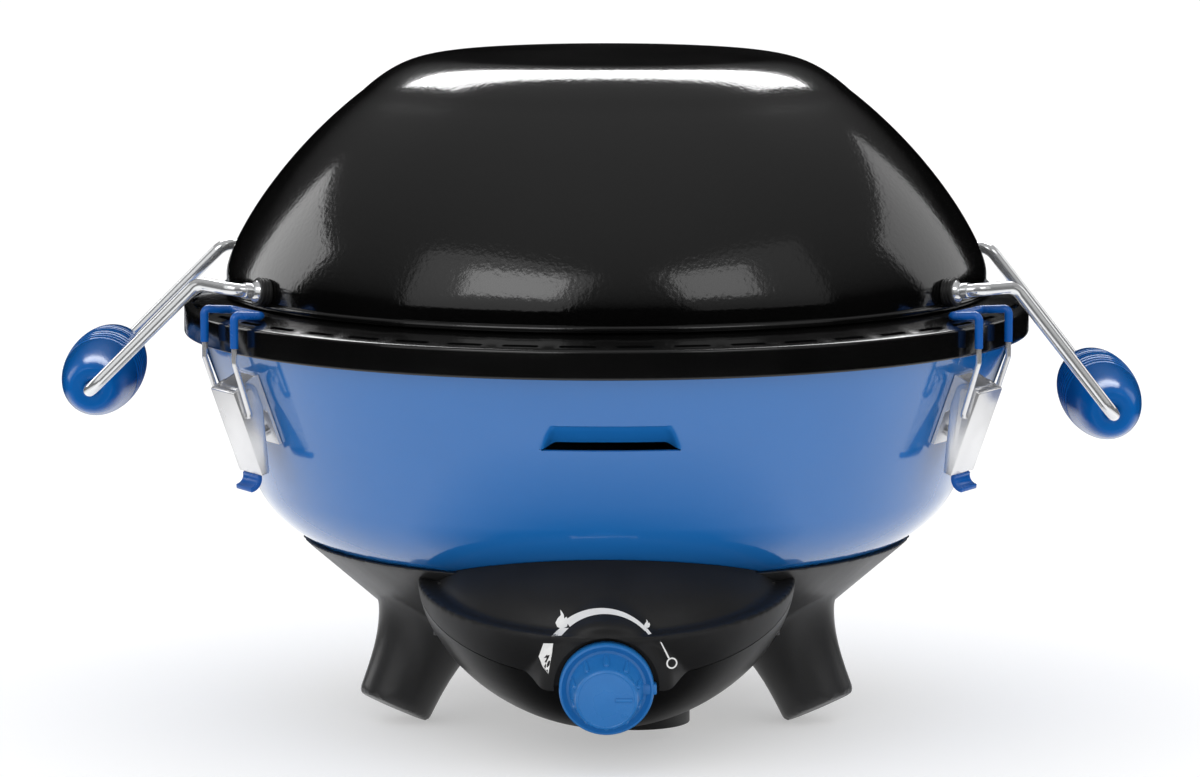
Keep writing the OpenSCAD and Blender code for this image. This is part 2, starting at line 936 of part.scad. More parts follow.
module burner_plate() {
    tall = burner_z - plate_z;
    color("silver")
    difference() {
        union() {
            translate([0, 0, plate_z])
                cylinder(r = plate_r, h = plate_t);
            translate([0, 0, plate_z])
                cylinder(r = burner_hub_r, h = tall - eps);
        }
        translate([0, 0, plate_z - over])
            cylinder(r = mix_r + screw_clear, h = tall + 2 * over);
        for (x = [-burner_screw_x, burner_screw_x])
            translate([x, 0, plate_z - over])
                cylinder(r = burner_screw_r + screw_clear, h = tall);
        translate([electrode.x, electrode.y, plate_z - over])
            cylinder(r = electrode_r + screw_clear, h = tall);
    }
}

module burner_screws() {
    head_r = burner_screw_r + 1.6;
    low = bowl_bottom_z - burner_nut_h - 1.5;
    color("lightgray")
    for (x = [-burner_screw_x, burner_screw_x])
        translate([x, 0, 0]) {
            translate([0, 0, plate_z + plate_t + eps])
                cylinder(r = head_r, h = 2.2);
            translate([0, 0, low])
                cylinder(r = burner_screw_r, h = plate_z + plate_t + over - low);
            translate([0, 0, bowl_bottom_z - burner_nut_h - eps])
                cylinder(r = head_r, h = burner_nut_h, $fn = 6);
        }
}

module spark_electrode() {
    color("white")
        translate([electrode.x, electrode.y, electrode_low])
            cylinder(r = electrode_r, h = burner_z - over - electrode_low);
}

module spark_generator() {
    color("black")
    at_knob()
        translate([spark_x, 0, spark_back])
            cylinder(r = spark_r, h = spark_l);
}

module spark_lead() {
    from = on_axis(spark_back - eps);
    p = [[spark_x, from.y, from.z],
        [spark_x, from.y + lead_dip, lead_z],
        [spark_x, electrode.y - lead_run, lead_z],
        [electrode.x, electrode.y, lead_z],
        [electrode.x, electrode.y, electrode_low - eps]];
    color("red")
        bent_rod(p, lead_r, 4);
}

// Pan and grid inside the bowl

module drip_pan() {
    z = pan_z;
    low = pan_z - pan_depth;
    color("silver")
    rotate_extrude($fn = round_fn)
        polygon([
            [pan_r, z], [pan_r, z + pan_t], [pan_trough_r, z + pan_t], [pan_trough_r - 4, low + pan_t],
            [pan_hole_r + 5, low + pan_t], [pan_hole_r + 1, z - 2], [pan_hole_r, z - 2],
            [pan_hole_r + 4, low], [pan_trough_r - 3, low], [pan_trough_r + 1, z]]);
}

module cooking_grid() {
    z = grid_seat_z + grid_ring_w + eps;
    pitch = 2 * grid_ring_r / (grid_bars + 1);
    color("gray")
    union() {
        ring_bead(grid_ring_r, z, grid_ring_w);
        for (i = [1:grid_bars]) {
            x = -grid_ring_r + i * pitch;
            half = sqrt(grid_ring_r * grid_ring_r - x * x);
            translate([x, -half, z])
                rotate([-90, 0, 0])
                    cylinder(r = grid_bar_r, h = 2 * half, $fn = 24);
        }
        for (y = [-grid_cross_y, grid_cross_y]) {
            half = sqrt(grid_ring_r * grid_ring_r - y * y);
            translate([-half, y, z - grid_cross_drop])
                rotate([0, 90, 0])
                    cylinder(r = grid_cross_r, h = 2 * half, $fn = 24);
        }
    }
}

// Screws

module cradle_screws() {
    grip_l = 18;
    color("lightgray")
    for (az = post_az)
        at_az(az)
            translate([post_ring, 0, 0]) {
                translate([0, 0, bowl_bottom_z + sheet_t + eps])
                    cylinder(r = screw_head_r, h = screw_head_h);
                translate([0, 0, bowl_bottom_z - grip_l])
                    cylinder(r = floor_screw_r - 0.02, h = grip_l + sheet_t + over);
            }
}

module pod_screws() {
    color("lightgray")
    for (i = [0, 1])
        at_pod_screws(i)
            translate([0, 0, screw_seat_z(i) - eps]) {
                translate([0, 0, -over])
                    cylinder(r = pod_screw_r, h = pod_screw_at[i].z - screw_seat_z(i) + over);
                translate([0, 0, -screw_head_h])
                    cylinder(r = screw_head_r, h = screw_head_h);
            }
}

// Latches

module latch_frame(az) {
    at_az(az)
        translate([pivot_r, 0, pivot_z])
            rotate([0, bowl_slope, 0])
                children();
}

// plate standing on edge: outline in [outward, up], extruded along the pivot
module edge_plate(from, thick) {
    translate([0, from + thick, 0])
        rotate([90, 0, 0])
            linear_extrude(height = thick)
                children();
}

module latch_brackets() {
    color("silver")
    for (az = latch_az)
        latch_frame(az)
            difference() {
                union() {
                    translate([plate_q, -bracket_half, bracket_low])
                        cube([ear_t, 2 * bracket_half, bracket_h]);
                    for (s = [-bracket_half, bracket_half - ear_t])
                        edge_plate(s, ear_t) {
                            circle(r = ear_r);
                            polygon([[plate_q, bracket_low + bracket_h], [plate_q, bracket_low / 2],
                                [0, -ear_r], [0, ear_r]]);
                        }
                }
                translate([0, -bracket_half - over, 0])
                    rotate([-90, 0, 0])
                        cylinder(r = pin_r + 0.02, h = 2 * bracket_half + 2 * over);
                for (u = rivet_u)
                    translate([plate_q - over, 0, u])
                        rotate([0, 90, 0])
                            cylinder(r = rivet_r + 0.02, h = ear_t + 2 * over);
            }
}

module latch_rivets() {
    inside = wall_q - sheet_t - eps;
    outside = plate_q + ear_t + 0.02;
    color("lightgray")
    for (az = latch_az)
        latch_frame(az)
            for (u = rivet_u)
                translate([0, 0, u])
                    rotate([0, 90, 0]) {
                        translate([0, 0, outside])
                            cylinder(r = rivet_head_r, h = rivet_head_h);
                        translate([0, 0, inside - over])
                            cylinder(r = rivet_r, h = outside - inside + 2 * over);
                        translate([0, 0, inside - rivet_head_h])
                            cylinder(r = rivet_head_r, h = rivet_head_h);
                    }
}

module latch_pins() {
    half = lever_w / 2 + over;
    color("lightgray")
    for (az = latch_az)
        latch_frame(az)
            translate([0, -half, 0])
                rotate([-90, 0, 0])
                    cylinder(r = pin_r, h = 2 * half);
}

module latch_lever(az) {
    half = lever_w / 2;
    out = web_q + lever_t;
    color("silver")
    latch_frame(az)
        difference() {
            union() {
                translate([web_q, -half, -lever_len])
                    cube([lever_t, lever_w, lever_len + 3.5]);
                for (s = [-half, half - lever_t])
                    edge_plate(s, lever_t) {
                        circle(r = ear_r);
                        polygon([[out, 3.5], [out, -lever_len], [web_q - 3, -lever_len],
                            [-ear_r, -9], [-ear_r, 0], [0, ear_r]]);
                    }
            }
            translate([0, -half - over, 0])
                rotate([-90, 0, 0])
                    cylinder(r = pin_r + fit, h = lever_w + 2 * over);
            translate([bail_q.x, -half - over, bail_q.y])
                rotate([-90, 0, 0])
                    cylinder(r = bail_r + fit, h = lever_w + 2 * over);
        }
}

module latch_tip(az) {
    curl = 4.6;
    coat = 0.5;
    width = lever_w - 2 * tip_in;
    color("dodgerblue")
    latch_frame(az)
        translate([web_q + lever_t + curl, 0, -lever_len - 0.02])
            rotate([90, 0, 0])
                rotate([0, 0, 180])
                    rotate_extrude(angle = 105, $fn = round_fn)
                        translate([curl - coat, -width / 2])
                            square([lever_t + 2 * coat, width]);
}

function bail_path() = [
    [bail_pivot_r, lever_w / 2 - lever_t - 0.6, bail_z],
    [bail_pivot_r, bail_foot, bail_z],
    [bail_leg_r, bail_half, rim_z - bail_kink],
    [bail_leg_r, bail_half, hook_z + hook_rise],
    [hook_r, bail_half, hook_z],
    [hook_r, -bail_half, hook_z],
    [bail_leg_r, -bail_half, hook_z + hook_rise],
    [bail_leg_r, -bail_half, rim_z - bail_kink],
    [bail_pivot_r, -bail_foot, bail_z],
    [bail_pivot_r, -lever_w / 2 + lever_t + 0.6, bail_z]];

function sleeve_path(more) = [
    [bail_leg_r, bail_half, sleeve_z - more],
    [bail_leg_r, bail_half, hook_z + hook_rise],
    [hook_r, bail_half, hook_z],
    [hook_r, -bail_half, hook_z],
    [bail_leg_r, -bail_half, hook_z + hook_rise],
    [bail_leg_r, -bail_half, sleeve_z - more]];

module latch_bail(az) {
    color("lightgray")
        at_az(az)
            bent_rod(bail_path(), bail_r, bail_bend);
}

module latch_sleeve(az) {
    color("dodgerblue")
        at_az(az)
            difference() {
                bent_rod(sleeve_path(0), sleeve_r, bail_bend);
                bent_rod(sleeve_path(over), bail_r + 0.03, bail_bend);
            }
}

// Lid

function lid_path() = concat(
    bez([[0, lid_top_z], [lid_top_r * 0.4, lid_top_z], [lid_top_r * 0.7, lid_top_z - crown / 3],
        [lid_top_r, lid_top_z - crown]], 6),
    [for (p = bez([[lid_top_r, lid_top_z - crown],
        [lid_top_r + shoulder.x * 0.36, lid_top_z - crown - shoulder.y * 0.08],
        [lid_top_r + shoulder.x * 0.64, lid_top_z - crown - shoulder.y * 0.3],
        [lid_top_r + shoulder.x, lid_top_z - shoulder.y]], 8))
        if (p.x > lid_top_r) p],
    [for (p = bez([[lid_top_r + shoulder.x, lid_top_z - shoulder.y],
        [lid_r - side_pull.x, lid_top_z - side_pull.y],
        [lid_r, lid_z + lid_band + side_up], [lid_r, lid_z + lid_band]], 14))
        if (p.x > lid_top_r + shoulder.x) p],
    [[lid_r, lid_z + 0.6]]);

module lid_shell() {
    color("black")
    difference() {
        union() {
            rotate_extrude($fn = round_fn)
                polygon(concat(lid_path(), rev(inset(lid_path(), sheet_t))));
            lid_edge(0);
        }
        for (az = [-stud_az, stud_az, 180 - stud_az, 180 + stud_az])
            at_stud(az)
                translate([0, 0, -20])
                    cylinder(r = wire_r + 0.15, h = 40);
    }
}

// rolled lower edge of the lid
module lid_edge(grow) {
    ring_bead(lid_r + edge_bead / 3, lid_z + edge_bead, edge_bead + grow);
}

// +Z along a handle stud, starting on the lid's outside
module at_stud(az) {
    at_az(az)
        translate([lid_r, 0, stud_z])
            rotate([0, 90 - stud_tilt, 0])
                children();
}

module each_stud() {
    for (az = [-stud_az, stud_az, 180 - stud_az, 180 + stud_az])
        at_stud(az)
            children();
}

module handle_spacers() {
    color("black")
    difference() {
        each_stud()
            difference() {
                rotate_extrude()
                    polygon(concat([[0, -2], [spacer_r, -2]],
                        [for (k = [0:2]) each [
                            [spacer_r, k * ridge + 0.4], [spacer_r + 0.5, k * ridge + 0.7],
                            [spacer_r + 0.5, k * ridge + 1.2], [spacer_r, k * ridge + 1.5]]],
                        [[spacer_r, spacer_l], [0, spacer_l]]));
                translate([0, 0, -5])
                    cylinder(r = wire_r + 0.02, h = 20);
            }
        lid_core(eps);
        lid_edge(eps);
    }
}

module lid_core(grow) {
    rotate_extrude($fn = fine_fn)
        polygon(concat([[0, 0]], inset(lid_path(), -grow), [[lid_r + grow, 0]]));
}

module handle_washers() {
    color("lightgray")
    each_stud()
        difference() {
            translate([0, 0, spacer_l + 0.03])
                intersection() {
                    cylinder(r = washer_r, h = washer_l);
                    translate([0, 0, washer_l - 6.2])
                        sphere(r = 6.2);
                }
            cylinder(r = wire_r + 0.02, h = 20);
        }
}

module handle_collars() {
    color("lightgray")
    each_stud()
        difference() {
            translate([0, 0, spacer_l + washer_l + 0.06])
                cylinder(r = collar_r, h = collar_l);
            cylinder(r = wire_r + 0.02, h = 20);
        }
}

module handle_nuts() {
    color("lightgray")
    difference() {
        each_stud()
            translate([0, 0, -stud_in])
                difference() {
                    rotate([0, 0, 30])
                        cylinder(r = nut_r, h = nut_l + stud_in / 2, $fn = 6);
                    translate([0, 0, -over])
                        cylinder(r = wire_r + 0.02, h = stud_out);
                }
        difference() {
            cylinder(r = big / 2, h = big);
            lid_core(-sheet_t - eps);
        }
    }
}

function stud_point(side, d) = [
    side * (lid_r + d * cos(stud_tilt)) * sin(stud_az),
    -(lid_r + d * cos(stud_tilt)) * cos(stud_az),
    stud_z + d * sin(stud_tilt)];

function flip(p) = [p.x, -p.y, p.z];

function handle_path(side, gx, drop, rise) =
    let (a = stud_point(side, -stud_in), b = stud_point(side, stud_out),
        c = [side * bend_x, b.y + arm_in, b.z + rise],
        d = [side * gx, c.y, c.z - drop])
    [a, b, c, d, flip(d), flip(c), flip(b), flip(a)];

module handle_wire_left() {
    color("lightgray")
        bent_rod(left_path, wire_r, arm_bend);
}

module handle_wire_right() {
    color("lightgray")
        bent_rod(right_path, wire_r, arm_bend);
}

// barrel along Y with grooves round its middle
module grip(p) {
    steps = 40;
    band = 0.36;
    color("dodgerblue")
    translate([p.x, 0, p.z])
        rotate([-90, 0, 0])
            difference() {
                rotate_extrude($fn = round_fn)
                    polygon(concat(
                        [[0, -grip_half]],
                        [for (i = [0:steps])
                            let (t = -1 + 2 * i / steps,
                                body = 9 + (grip_r - 9) * sqrt(max(0, 1 - t * t)))
                            [body, t * grip_half]],
                        [[0, grip_half]]));
                for (k = [0:grip_grooves - 1])
                    let (t = -band + 2 * band * k / (grip_grooves - 1),
                        body = 9 + (grip_r - 9) * sqrt(1 - t * t))
                    ring_bead(body + 0.9, t * grip_half, 1.9);
                translate([0, 0, -grip_half - 1])
                    cylinder(r = wire_r + fit, h = 2 * grip_half + 2);
            }
}

module grip_left() {
    grip(left_path[3]);
}

module grip_right() {
    grip(right_path[3]);
}

bowl();
rim_ring();
base_cradle();
control_fascia();
control_belly();
control_knob();
tap_stem();
gas_tap();
gas_inlet_cup();
inlet_nipple();
feed_pipe();
gas_injector();
mixing_tube();
burner_head();
burner_plate();
burner_screws();
spark_generator();
spark_electrode();
spark_lead();
drip_pan();
cooking_grid();
cradle_screws();
pod_screws();
latch_brackets();
latch_rivets();
latch_pins();
latch_lever(latch_az[0]);  // latch_lever_left
latch_lever(latch_az[1]);  // latch_lever_right
latch_lever(latch_az[2]);  // latch_lever_rear
latch_tip(latch_az[0]);  // latch_tip_left
latch_tip(latch_az[1]);  // latch_tip_right
latch_tip(latch_az[2]);  // latch_tip_rear
latch_bail(latch_az[0]);  // latch_bail_left
latch_bail(latch_az[1]);  // latch_bail_right
latch_bail(latch_az[2]);  // latch_bail_rear
latch_sleeve(latch_az[0]);  // latch_sleeve_left
latch_sleeve(latch_az[1]);  // latch_sleeve_right
latch_sleeve(latch_az[2]);  // latch_sleeve_rear
lid_shell();
handle_wire_left();
handle_wire_right();
grip_left();
grip_right();
handle_spacers();
handle_washers();
handle_collars();
handle_nuts();
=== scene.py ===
"""Looks of a portable camping grill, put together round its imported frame. Metres, Z up, knob to -Y."""
import math

import bpy
from mathutils import Matrix, Vector


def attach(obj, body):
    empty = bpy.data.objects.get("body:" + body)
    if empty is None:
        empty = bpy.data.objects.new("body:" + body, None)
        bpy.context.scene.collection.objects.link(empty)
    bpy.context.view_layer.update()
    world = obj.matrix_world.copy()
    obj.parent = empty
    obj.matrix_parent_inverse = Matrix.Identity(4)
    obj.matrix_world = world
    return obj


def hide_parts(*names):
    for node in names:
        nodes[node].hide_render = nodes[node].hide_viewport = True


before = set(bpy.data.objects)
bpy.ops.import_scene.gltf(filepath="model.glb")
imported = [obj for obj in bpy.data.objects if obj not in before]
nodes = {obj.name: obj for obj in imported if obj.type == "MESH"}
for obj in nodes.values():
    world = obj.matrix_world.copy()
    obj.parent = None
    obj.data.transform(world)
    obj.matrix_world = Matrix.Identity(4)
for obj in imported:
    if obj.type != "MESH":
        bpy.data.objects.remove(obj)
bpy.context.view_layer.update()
mm = 0.001


# Studio
# A pale floor that runs on behind the grill, and a camera that stands square in front of it
# and looks a little down on it, with a long lens.
photo_width = 1200
axis_px = 606.5
focal_px = 5457
sensor = 36
camera_distance = 2.7
camera_rise = math.radians(7.456)
camera_aim = Vector((0, 0, 155.8 * mm))

camera_data = bpy.data.cameras.new("camera")
camera_data.sensor_width = sensor
camera_data.lens = sensor * focal_px / photo_width
camera_data.shift_x = (photo_width / 2 - axis_px) / photo_width
camera = bpy.data.objects.new("camera", camera_data)
camera.location = camera_aim + camera_distance * Vector((0, -math.cos(camera_rise), math.sin(camera_rise)))
camera.rotation_euler = (math.pi / 2 - camera_rise, 0, 0)
bpy.context.scene.collection.objects.link(camera)
bpy.context.scene.camera = camera
bpy.context.scene.view_settings.view_transform = "Standard"


def material(name, color, roughness, metallic=0.0):
    """A new material with its shader's plain values set, and its node tree and shader."""
    made = bpy.data.materials.new(name)
    made.use_nodes = True
    shader = made.node_tree.nodes["Principled BSDF"]
    shader.inputs["Base Color"].default_value = (*color, 1)
    shader.inputs["Roughness"].default_value = roughness
    shader.inputs["Metallic"].default_value = metallic
    return made, made.node_tree, shader


floor_size = 24
bpy.ops.object.select_all(action="DESELECT")
bpy.ops.mesh.primitive_plane_add(size=floor_size)
floor = bpy.context.object
floor.name = "floor"
floor_paint, floor_tree, floor_shader = material("floor_paint", (0.62, 0.62, 0.62), 0.9)
floor_shader.inputs["Emission Color"].default_value = (1, 1, 1, 1)
floor_shader.inputs["Emission Strength"].default_value = 0.4
floor.data.materials.append(floor_paint)

# in reflections the floor is white only close by, as a white table in a dark room, and just before
# the control pod it carries a painted shadow of the pod, which shows only in the gloss
def new_node(kind, **values):
    """A node for the floor's reflections, with its plain values set by label."""
    made = floor_tree.nodes.new("ShaderNode" + kind)
    for label, number in values.items():
        made.inputs[label.replace("_", " ")].default_value = number
    return made


# the pod's painted shadow: a patch of floor just before the pod that is black in reflections only
pod_ahead = 0.2
pod_widening = 0.6
pod_shadow_full, pod_shadow_end = 0.06, 0.13
far_dark_start, far_dark_full = 0.45, 0.95
place = new_node("TexCoord")
before_pod = new_node("Mapping", Location=(0, pod_ahead, 0), Scale=(pod_widening, 1, 1))
pod_away, away = new_node("VectorMath"), new_node("VectorMath")
pod_away.operation = away.operation = "LENGTH"
# painted shadow of the pod, seen only in the gloss
pod_painted_shadow = new_node("MapRange", From_Min=pod_shadow_full, From_Max=pod_shadow_end, To_Min=1, To_Max=0)
far_dark = new_node("MapRange", From_Min=far_dark_start, From_Max=far_dark_full)
darker, mirrored = new_node("Math"), new_node("Math")
darker.operation = "MAXIMUM"
mirrored.operation = "MULTIPLY"
unlit = new_node("BsdfDiffuse", Color=(0, 0, 0, 1))
which_floor = new_node("MixShader")
for source, target in (
        (place.outputs["Object"], before_pod.inputs["Vector"]),
        (before_pod.outputs["Vector"], pod_away.inputs[0]),
        (place.outputs["Object"], away.inputs[0]),
        (pod_away.outputs["Value"], pod_painted_shadow.inputs["Value"]),
        (away.outputs["Value"], far_dark.inputs["Value"]),
        (pod_painted_shadow.outputs["Result"], darker.inputs[0]),
        (far_dark.outputs["Result"], darker.inputs[1]),
        (darker.outputs["Value"], mirrored.inputs[0]),
        (new_node("LightPath").outputs["Is Glossy Ray"], mirrored.inputs[1]),
        (mirrored.outputs["Value"], which_floor.inputs["Fac"]),
        (floor_shader.outputs["BSDF"], which_floor.inputs[1]),
        (unlit.outputs["BSDF"], which_floor.inputs[2]),
        (which_floor.outputs["Shader"], floor_tree.nodes["Material Output"].inputs["Surface"])):
    floor_tree.links.new(source, target)


# Light
# White light from all round, and soft panels that show in the gloss: two in front with a gap for
# the camera and a brighter middle each, one at each side, and a wide bank overhead at the back.
def panel(name, azimuth, rise, distance, width, height, watts):
    """A soft light facing the grill, at a compass angle counted from the front towards the right."""
    lamp = bpy.data.lights.new(name, "AREA")
    lamp.shape = "RECTANGLE"
    lamp.size = width
    lamp.size_y = height
    lamp.energy = watts
    holder = bpy.data.objects.new(name, lamp)
    bpy.context.scene.collection.objects.link(holder)
    a, e = math.radians(azimuth), math.radians(rise)
    away = Vector((math.sin(a) * math.cos(e), -math.cos(a) * math.cos(e), math.sin(e)))
    holder.location = camera_aim + distance * away
    holder.rotation_euler = (-away).to_track_quat("-Z", "Y").to_euler()
    holder.visible_camera = False
    holder.visible_diffuse = False


panel("front_left", -36, 27, 2.2, 2.0, 1.8, 7)
panel("front_left_core", -30, 36, 2.1, 1.0, 0.6, 5)
panel("front_right", 46, 27, 2.2, 1.8, 1.8, 2.5)
panel("front_right_core", 36, 36, 2.1, 0.8, 0.65, 2.6)
panel("side_left", -118, 18, 1.9, 1.0, 0.9, 5.5)
panel("side_right", 122, 20, 1.9, 1.1, 0.9, 3)
panel("back_bank", 180, 47, 2.0, 1.9, 0.8, 40)

# a white studio to the eye, with a dark room in its reflections that gets lighter overhead
sky = bpy.data.worlds.new("sky")
bpy.context.scene.world = sky
sky.use_nodes = True
sky_nodes, sky_links = sky.node_tree.nodes, sky.node_tree.links
white_room = sky_nodes["Background"]
white_room.inputs["Color"].default_value = (1, 1, 1, 1)
white_room.inputs["Strength"].default_value = 1.1
dark_room = sky_nodes.new("ShaderNodeBackground")
height = sky_nodes.new("ShaderNodeSeparateXYZ")
lighter = sky_nodes.new("ShaderNodeMapRange")
for label, number in (("From Min", 0.2), ("From Max", 1.0), ("To Min", 0.0), ("To Max", 0.5)):
    lighter.inputs[label].default_value = number
which_room = sky_nodes.new("ShaderNodeMixShader")
sky_links.new(sky_nodes.new("ShaderNodeTexCoord").outputs["Generated"], height.inputs["Vector"])
sky_links.new(height.outputs["Z"], lighter.inputs["Value"])
sky_links.new(lighter.outputs["Result"], dark_room.inputs["Strength"])
sky_links.new(sky_nodes.new("ShaderNodeLightPath").outputs["Is Glossy Ray"], which_room.inputs["Fac"])
sky_links.new(white_room.outputs["Background"], which_room.inputs[1])
sky_links.new(dark_room.outputs["Background"], which_room.inputs[2])
sky_links.new(which_room.outputs["Shader"], sky_nodes["World Output"].inputs["Surface"])


# Cradle
# One black moulding: a shallow dish under the bowl with three splayed legs that run into it
# in soft hollows. Each leg is cut square to its own axis and stands on its inner edge.
def turned(name, outline, steps):
    """Draws an outline of (radius, height) points and spins it round the upright axis."""
    bpy.ops.object.select_all(action="DESELECT")
    bpy.ops.mesh.primitive_plane_add(size=mm)
    piece = bpy.context.object
    piece.name = name
    bpy.ops.object.mode_set(mode="EDIT")
    bpy.ops.mesh.select_mode(type="VERT")
    bpy.ops.mesh.select_all(action="SELECT")
    bpy.ops.mesh.merge(type="CENTER")
    bpy.ops.transform.translate(value=(outline[0][0], 0, outline[0][1]))
    for (r0, z0), (r1, z1) in zip(outline, outline[1:]):
        bpy.ops.mesh.extrude_vertices_move(TRANSFORM_OT_translate={"value": (r1 - r0, 0, z1 - z0)})
    bpy.ops.mesh.select_all(action="SELECT")
    bpy.ops.mesh.spin(steps=steps, angle=math.tau, center=(0, 0, 0), axis=(0, 0, 1))
    bpy.ops.mesh.select_all(action="SELECT")
    bpy.ops.mesh.remove_doubles(threshold=mm / 1000)
    bpy.ops.mesh.normals_make_consistent(inside=False)
    bpy.ops.object.mode_set(mode="OBJECT")
    return piece


def swept(corners, count):
    """Points along the Bezier curve with these four corners."""
    a, b, c, d = [Vector(p) for p in corners]
    shares = [i / count for i in range(count + 1)]
    return [
        a * (1 - t) ** 3 + b * 3 * t * (1 - t) ** 2 + c * 3 * t * t * (1 - t) + d * t ** 3
        for t in shares
    ]


def only(piece):
    """Selects one piece and nothing else."""
    bpy.ops.object.select_all(action="DESELECT")
    piece.select_set(True)
    bpy.context.view_layer.objects.active = piece


def change(piece, kind, **settings):
    """Adds a modifier with these settings and applies it."""
    only(piece)
    modifier = piece.modifiers.new(kind, kind)
    for key, value in settings.items():
        setattr(modifier, key, value)
    bpy.ops.object.modifier_apply(modifier=modifier.name)
    return piece


def joined(name, parts):
    """Several meshes as one."""
    bpy.ops.object.select_all(action="DESELECT")
    for part in parts:
        part.select_set(True)
    bpy.context.view_layer.objects.active = parts[0]
    bpy.ops.object.join()
    parts[0].name = name
    return parts[0]


def cut(piece, cutter, operation="DIFFERENCE"):
    """Cuts a piece with another, which is then removed."""
    change(piece, "BOOLEAN", object=cutter, operation=operation, solver="MANIFOLD")
    bpy.data.objects.remove(cutter)
    return piece


def smooth(piece, angle=35):
    """Smooth shading with the sharper edges kept."""
    only(piece)
    bpy.ops.object.shade_smooth_by_angle(angle=math.radians(angle))
    return piece


def compass(azimuth):
    """Turns +X to a compass angle counted from the front towards the right."""
    return Matrix.Rotation(math.radians(azimuth - 90), 4, "Z")


leg_azimuths = (-60, 60, 180)
leg_r = 18.5 * mm
leg_length = 78 * mm
leg_splay = math.radians(27)
leg_flare = 34 * mm
foot_r = 120 * mm
foot_z = 7.2 * mm
dish = turned("dish", [(r * mm, z * mm) for r, z in (
    (0, 38), (95.7, 38), (103.7, 44), (121, 59), (151.6, 85.4),
    (147, 85.4), (117.5, 62), (101, 48), (94, 42.5), (0, 42.5))], steps=96)
flank = swept(((leg_r, 0), (leg_r + 1.5 * mm, 0.45 * leg_length),
               (leg_r + 5 * mm, 0.6 * leg_length), (leg_r + leg_flare, leg_length)), count=12)
legs = []
for azimuth in leg_azimuths:
    leg = turned("leg", [(0, 0), *[tuple(p) for p in flank], (0, leg_length)], steps=64)
    leg.data.transform(
        compass(azimuth)
        @ Matrix.Translation((foot_r, 0, foot_z))
        @ Matrix.Rotation(-leg_splay, 4, "Y"))
    legs.append(leg)
legs = joined("legs", legs)
reach = turned("reach", [(r * mm, z * mm) for r, z in (
    (0, -9), (160, -9), (157, 50), (126.5, 50), (151.3, 84.4), (147.5, 84.4),
    (118, 62.5), (101.5, 48.5), (94.5, 40), (0, 40))], steps=96)


def rod(name, radius, low, high, x=0, y=0):
    """An upright round bar, as a start for a boss or a hole."""
    bar = turned(name, [(0, low), (radius, low), (radius, high), (0, high)], steps=48)
    bar.data.transform(Matrix.Translation((x, y, 0)))
    return bar


def block(name, low, high):
    """A box between two corners, as a start for a cut."""
    bpy.ops.object.select_all(action="DESELECT")
    bpy.ops.mesh.primitive_cube_add(size=1)
    made = bpy.context.object
    made.name = name
    low, high = Vector(low), Vector(high)
    made.data.transform(Matrix.Translation((low + high) / 2) @ Matrix.Diagonal((*(high - low), 1)))
    return made


def sliced(piece, point, normal):
    """Cuts a piece at a plane and keeps what lies behind the plane."""
    only(piece)
    bpy.ops.object.mode_set(mode="EDIT")
    bpy.ops.mesh.select_all(action="SELECT")
    bpy.ops.mesh.bisect(plane_co=point, plane_no=normal, use_fill=True, clear_outer=True)
    bpy.ops.object.mode_set(mode="OBJECT")
    return piece


post_r = 7 * mm
post_ring = 75 * mm
post_low = 40 * mm
post_top = 73.9 * mm
window_low = Vector((-24, -152, 43)) * mm
window_high = Vector((24, -80, 65)) * mm
posts = []
for azimuth in leg_azimuths:
    post = rod("post", post_r, post_low, post_top)
    post.data.transform(compass(azimuth) @ Matrix.Translation((post_ring, 0, 0)))
    posts.append(post)
cut(legs, reach, "INTERSECT")
cradle = joined("cradle", [dish, legs, *posts])
change(cradle, "REMESH", mode="VOXEL", voxel_size=1.7 * mm)
change(cradle, "SMOOTH", iterations=9, factor=0.5)
cut(cradle, block("gas_window", window_low, window_high))
sliced(cradle, (0, 0, 0), (0, 0, -1))
smooth(cradle)


def group(name, inputs, outputs):
    """A new node group with these number inputs and these outputs."""
    tree = bpy.data.node_groups.new(name, "ShaderNodeTree")
    tree.interface.new_socket("Place", in_out="INPUT", socket_type="NodeSocketVector")
    for label, value in inputs.items():
        socket = tree.interface.new_socket(label, in_out="INPUT", socket_type="NodeSocketFloat")
        socket.default_value = value
    for label in outputs:
        tree.interface.new_socket(label, in_out="OUTPUT", socket_type="NodeSocketFloat")
    return tree, tree.nodes.new("NodeGroupInput"), tree.nodes.new("NodeGroupOutput")


def noise(tree, place, scale, detail):
    """A noise node whose place and scale come from other sockets."""
    node = tree.nodes.new("ShaderNodeTexNoise")
    tree.links.new(place, node.inputs["Vector"])
    tree.links.new(scale, node.inputs["Scale"])
    node.inputs["Detail"].default_value = detail
    return node


def spread(tree, value, low, high, from_low=0.3, from_high=0.7):
    """A value mapped from the range of a noise to another range, given as numbers or sockets."""
    node = tree.nodes.new("ShaderNodeMapRange")
    tree.links.new(value, node.inputs["Value"])
    ends = {"From Min": from_low, "From Max": from_high, "To Min": low, "To Max": high}
    for label, number in ends.items():
        if isinstance(number, (int, float)):
            node.inputs[label].default_value = number
        else:
            tree.links.new(number, node.inputs[label])
    return node.outputs["Result"]


# handling marks: broad cloudy patches with finer ones in them, as a roughness
marks, marks_in, marks_out = group("handling_marks", {"Scale": 20.0, "Low": 0.2, "High": 0.4}, ["Roughness"])
cloud = noise(marks, marks_in.outputs["Place"], marks_in.outputs["Scale"], 5.0)
patch = spread(marks, cloud.outputs["Fac"], marks_in.outputs["Low"], marks_in.outputs["High"])
marks.links.new(patch, marks_out.inputs["Roughness"])

# surface texture: one noise as a height, from moulded grain to orange peel by its scale
texture, texture_in, texture_out = group("surface_texture", {"Scale": 900.0}, ["Height"])
grain = noise(texture, texture_in.outputs["Place"], texture_in.outputs["Scale"], 2.0)
texture.links.new(grain.outputs["Fac"], texture_out.inputs["Height"])

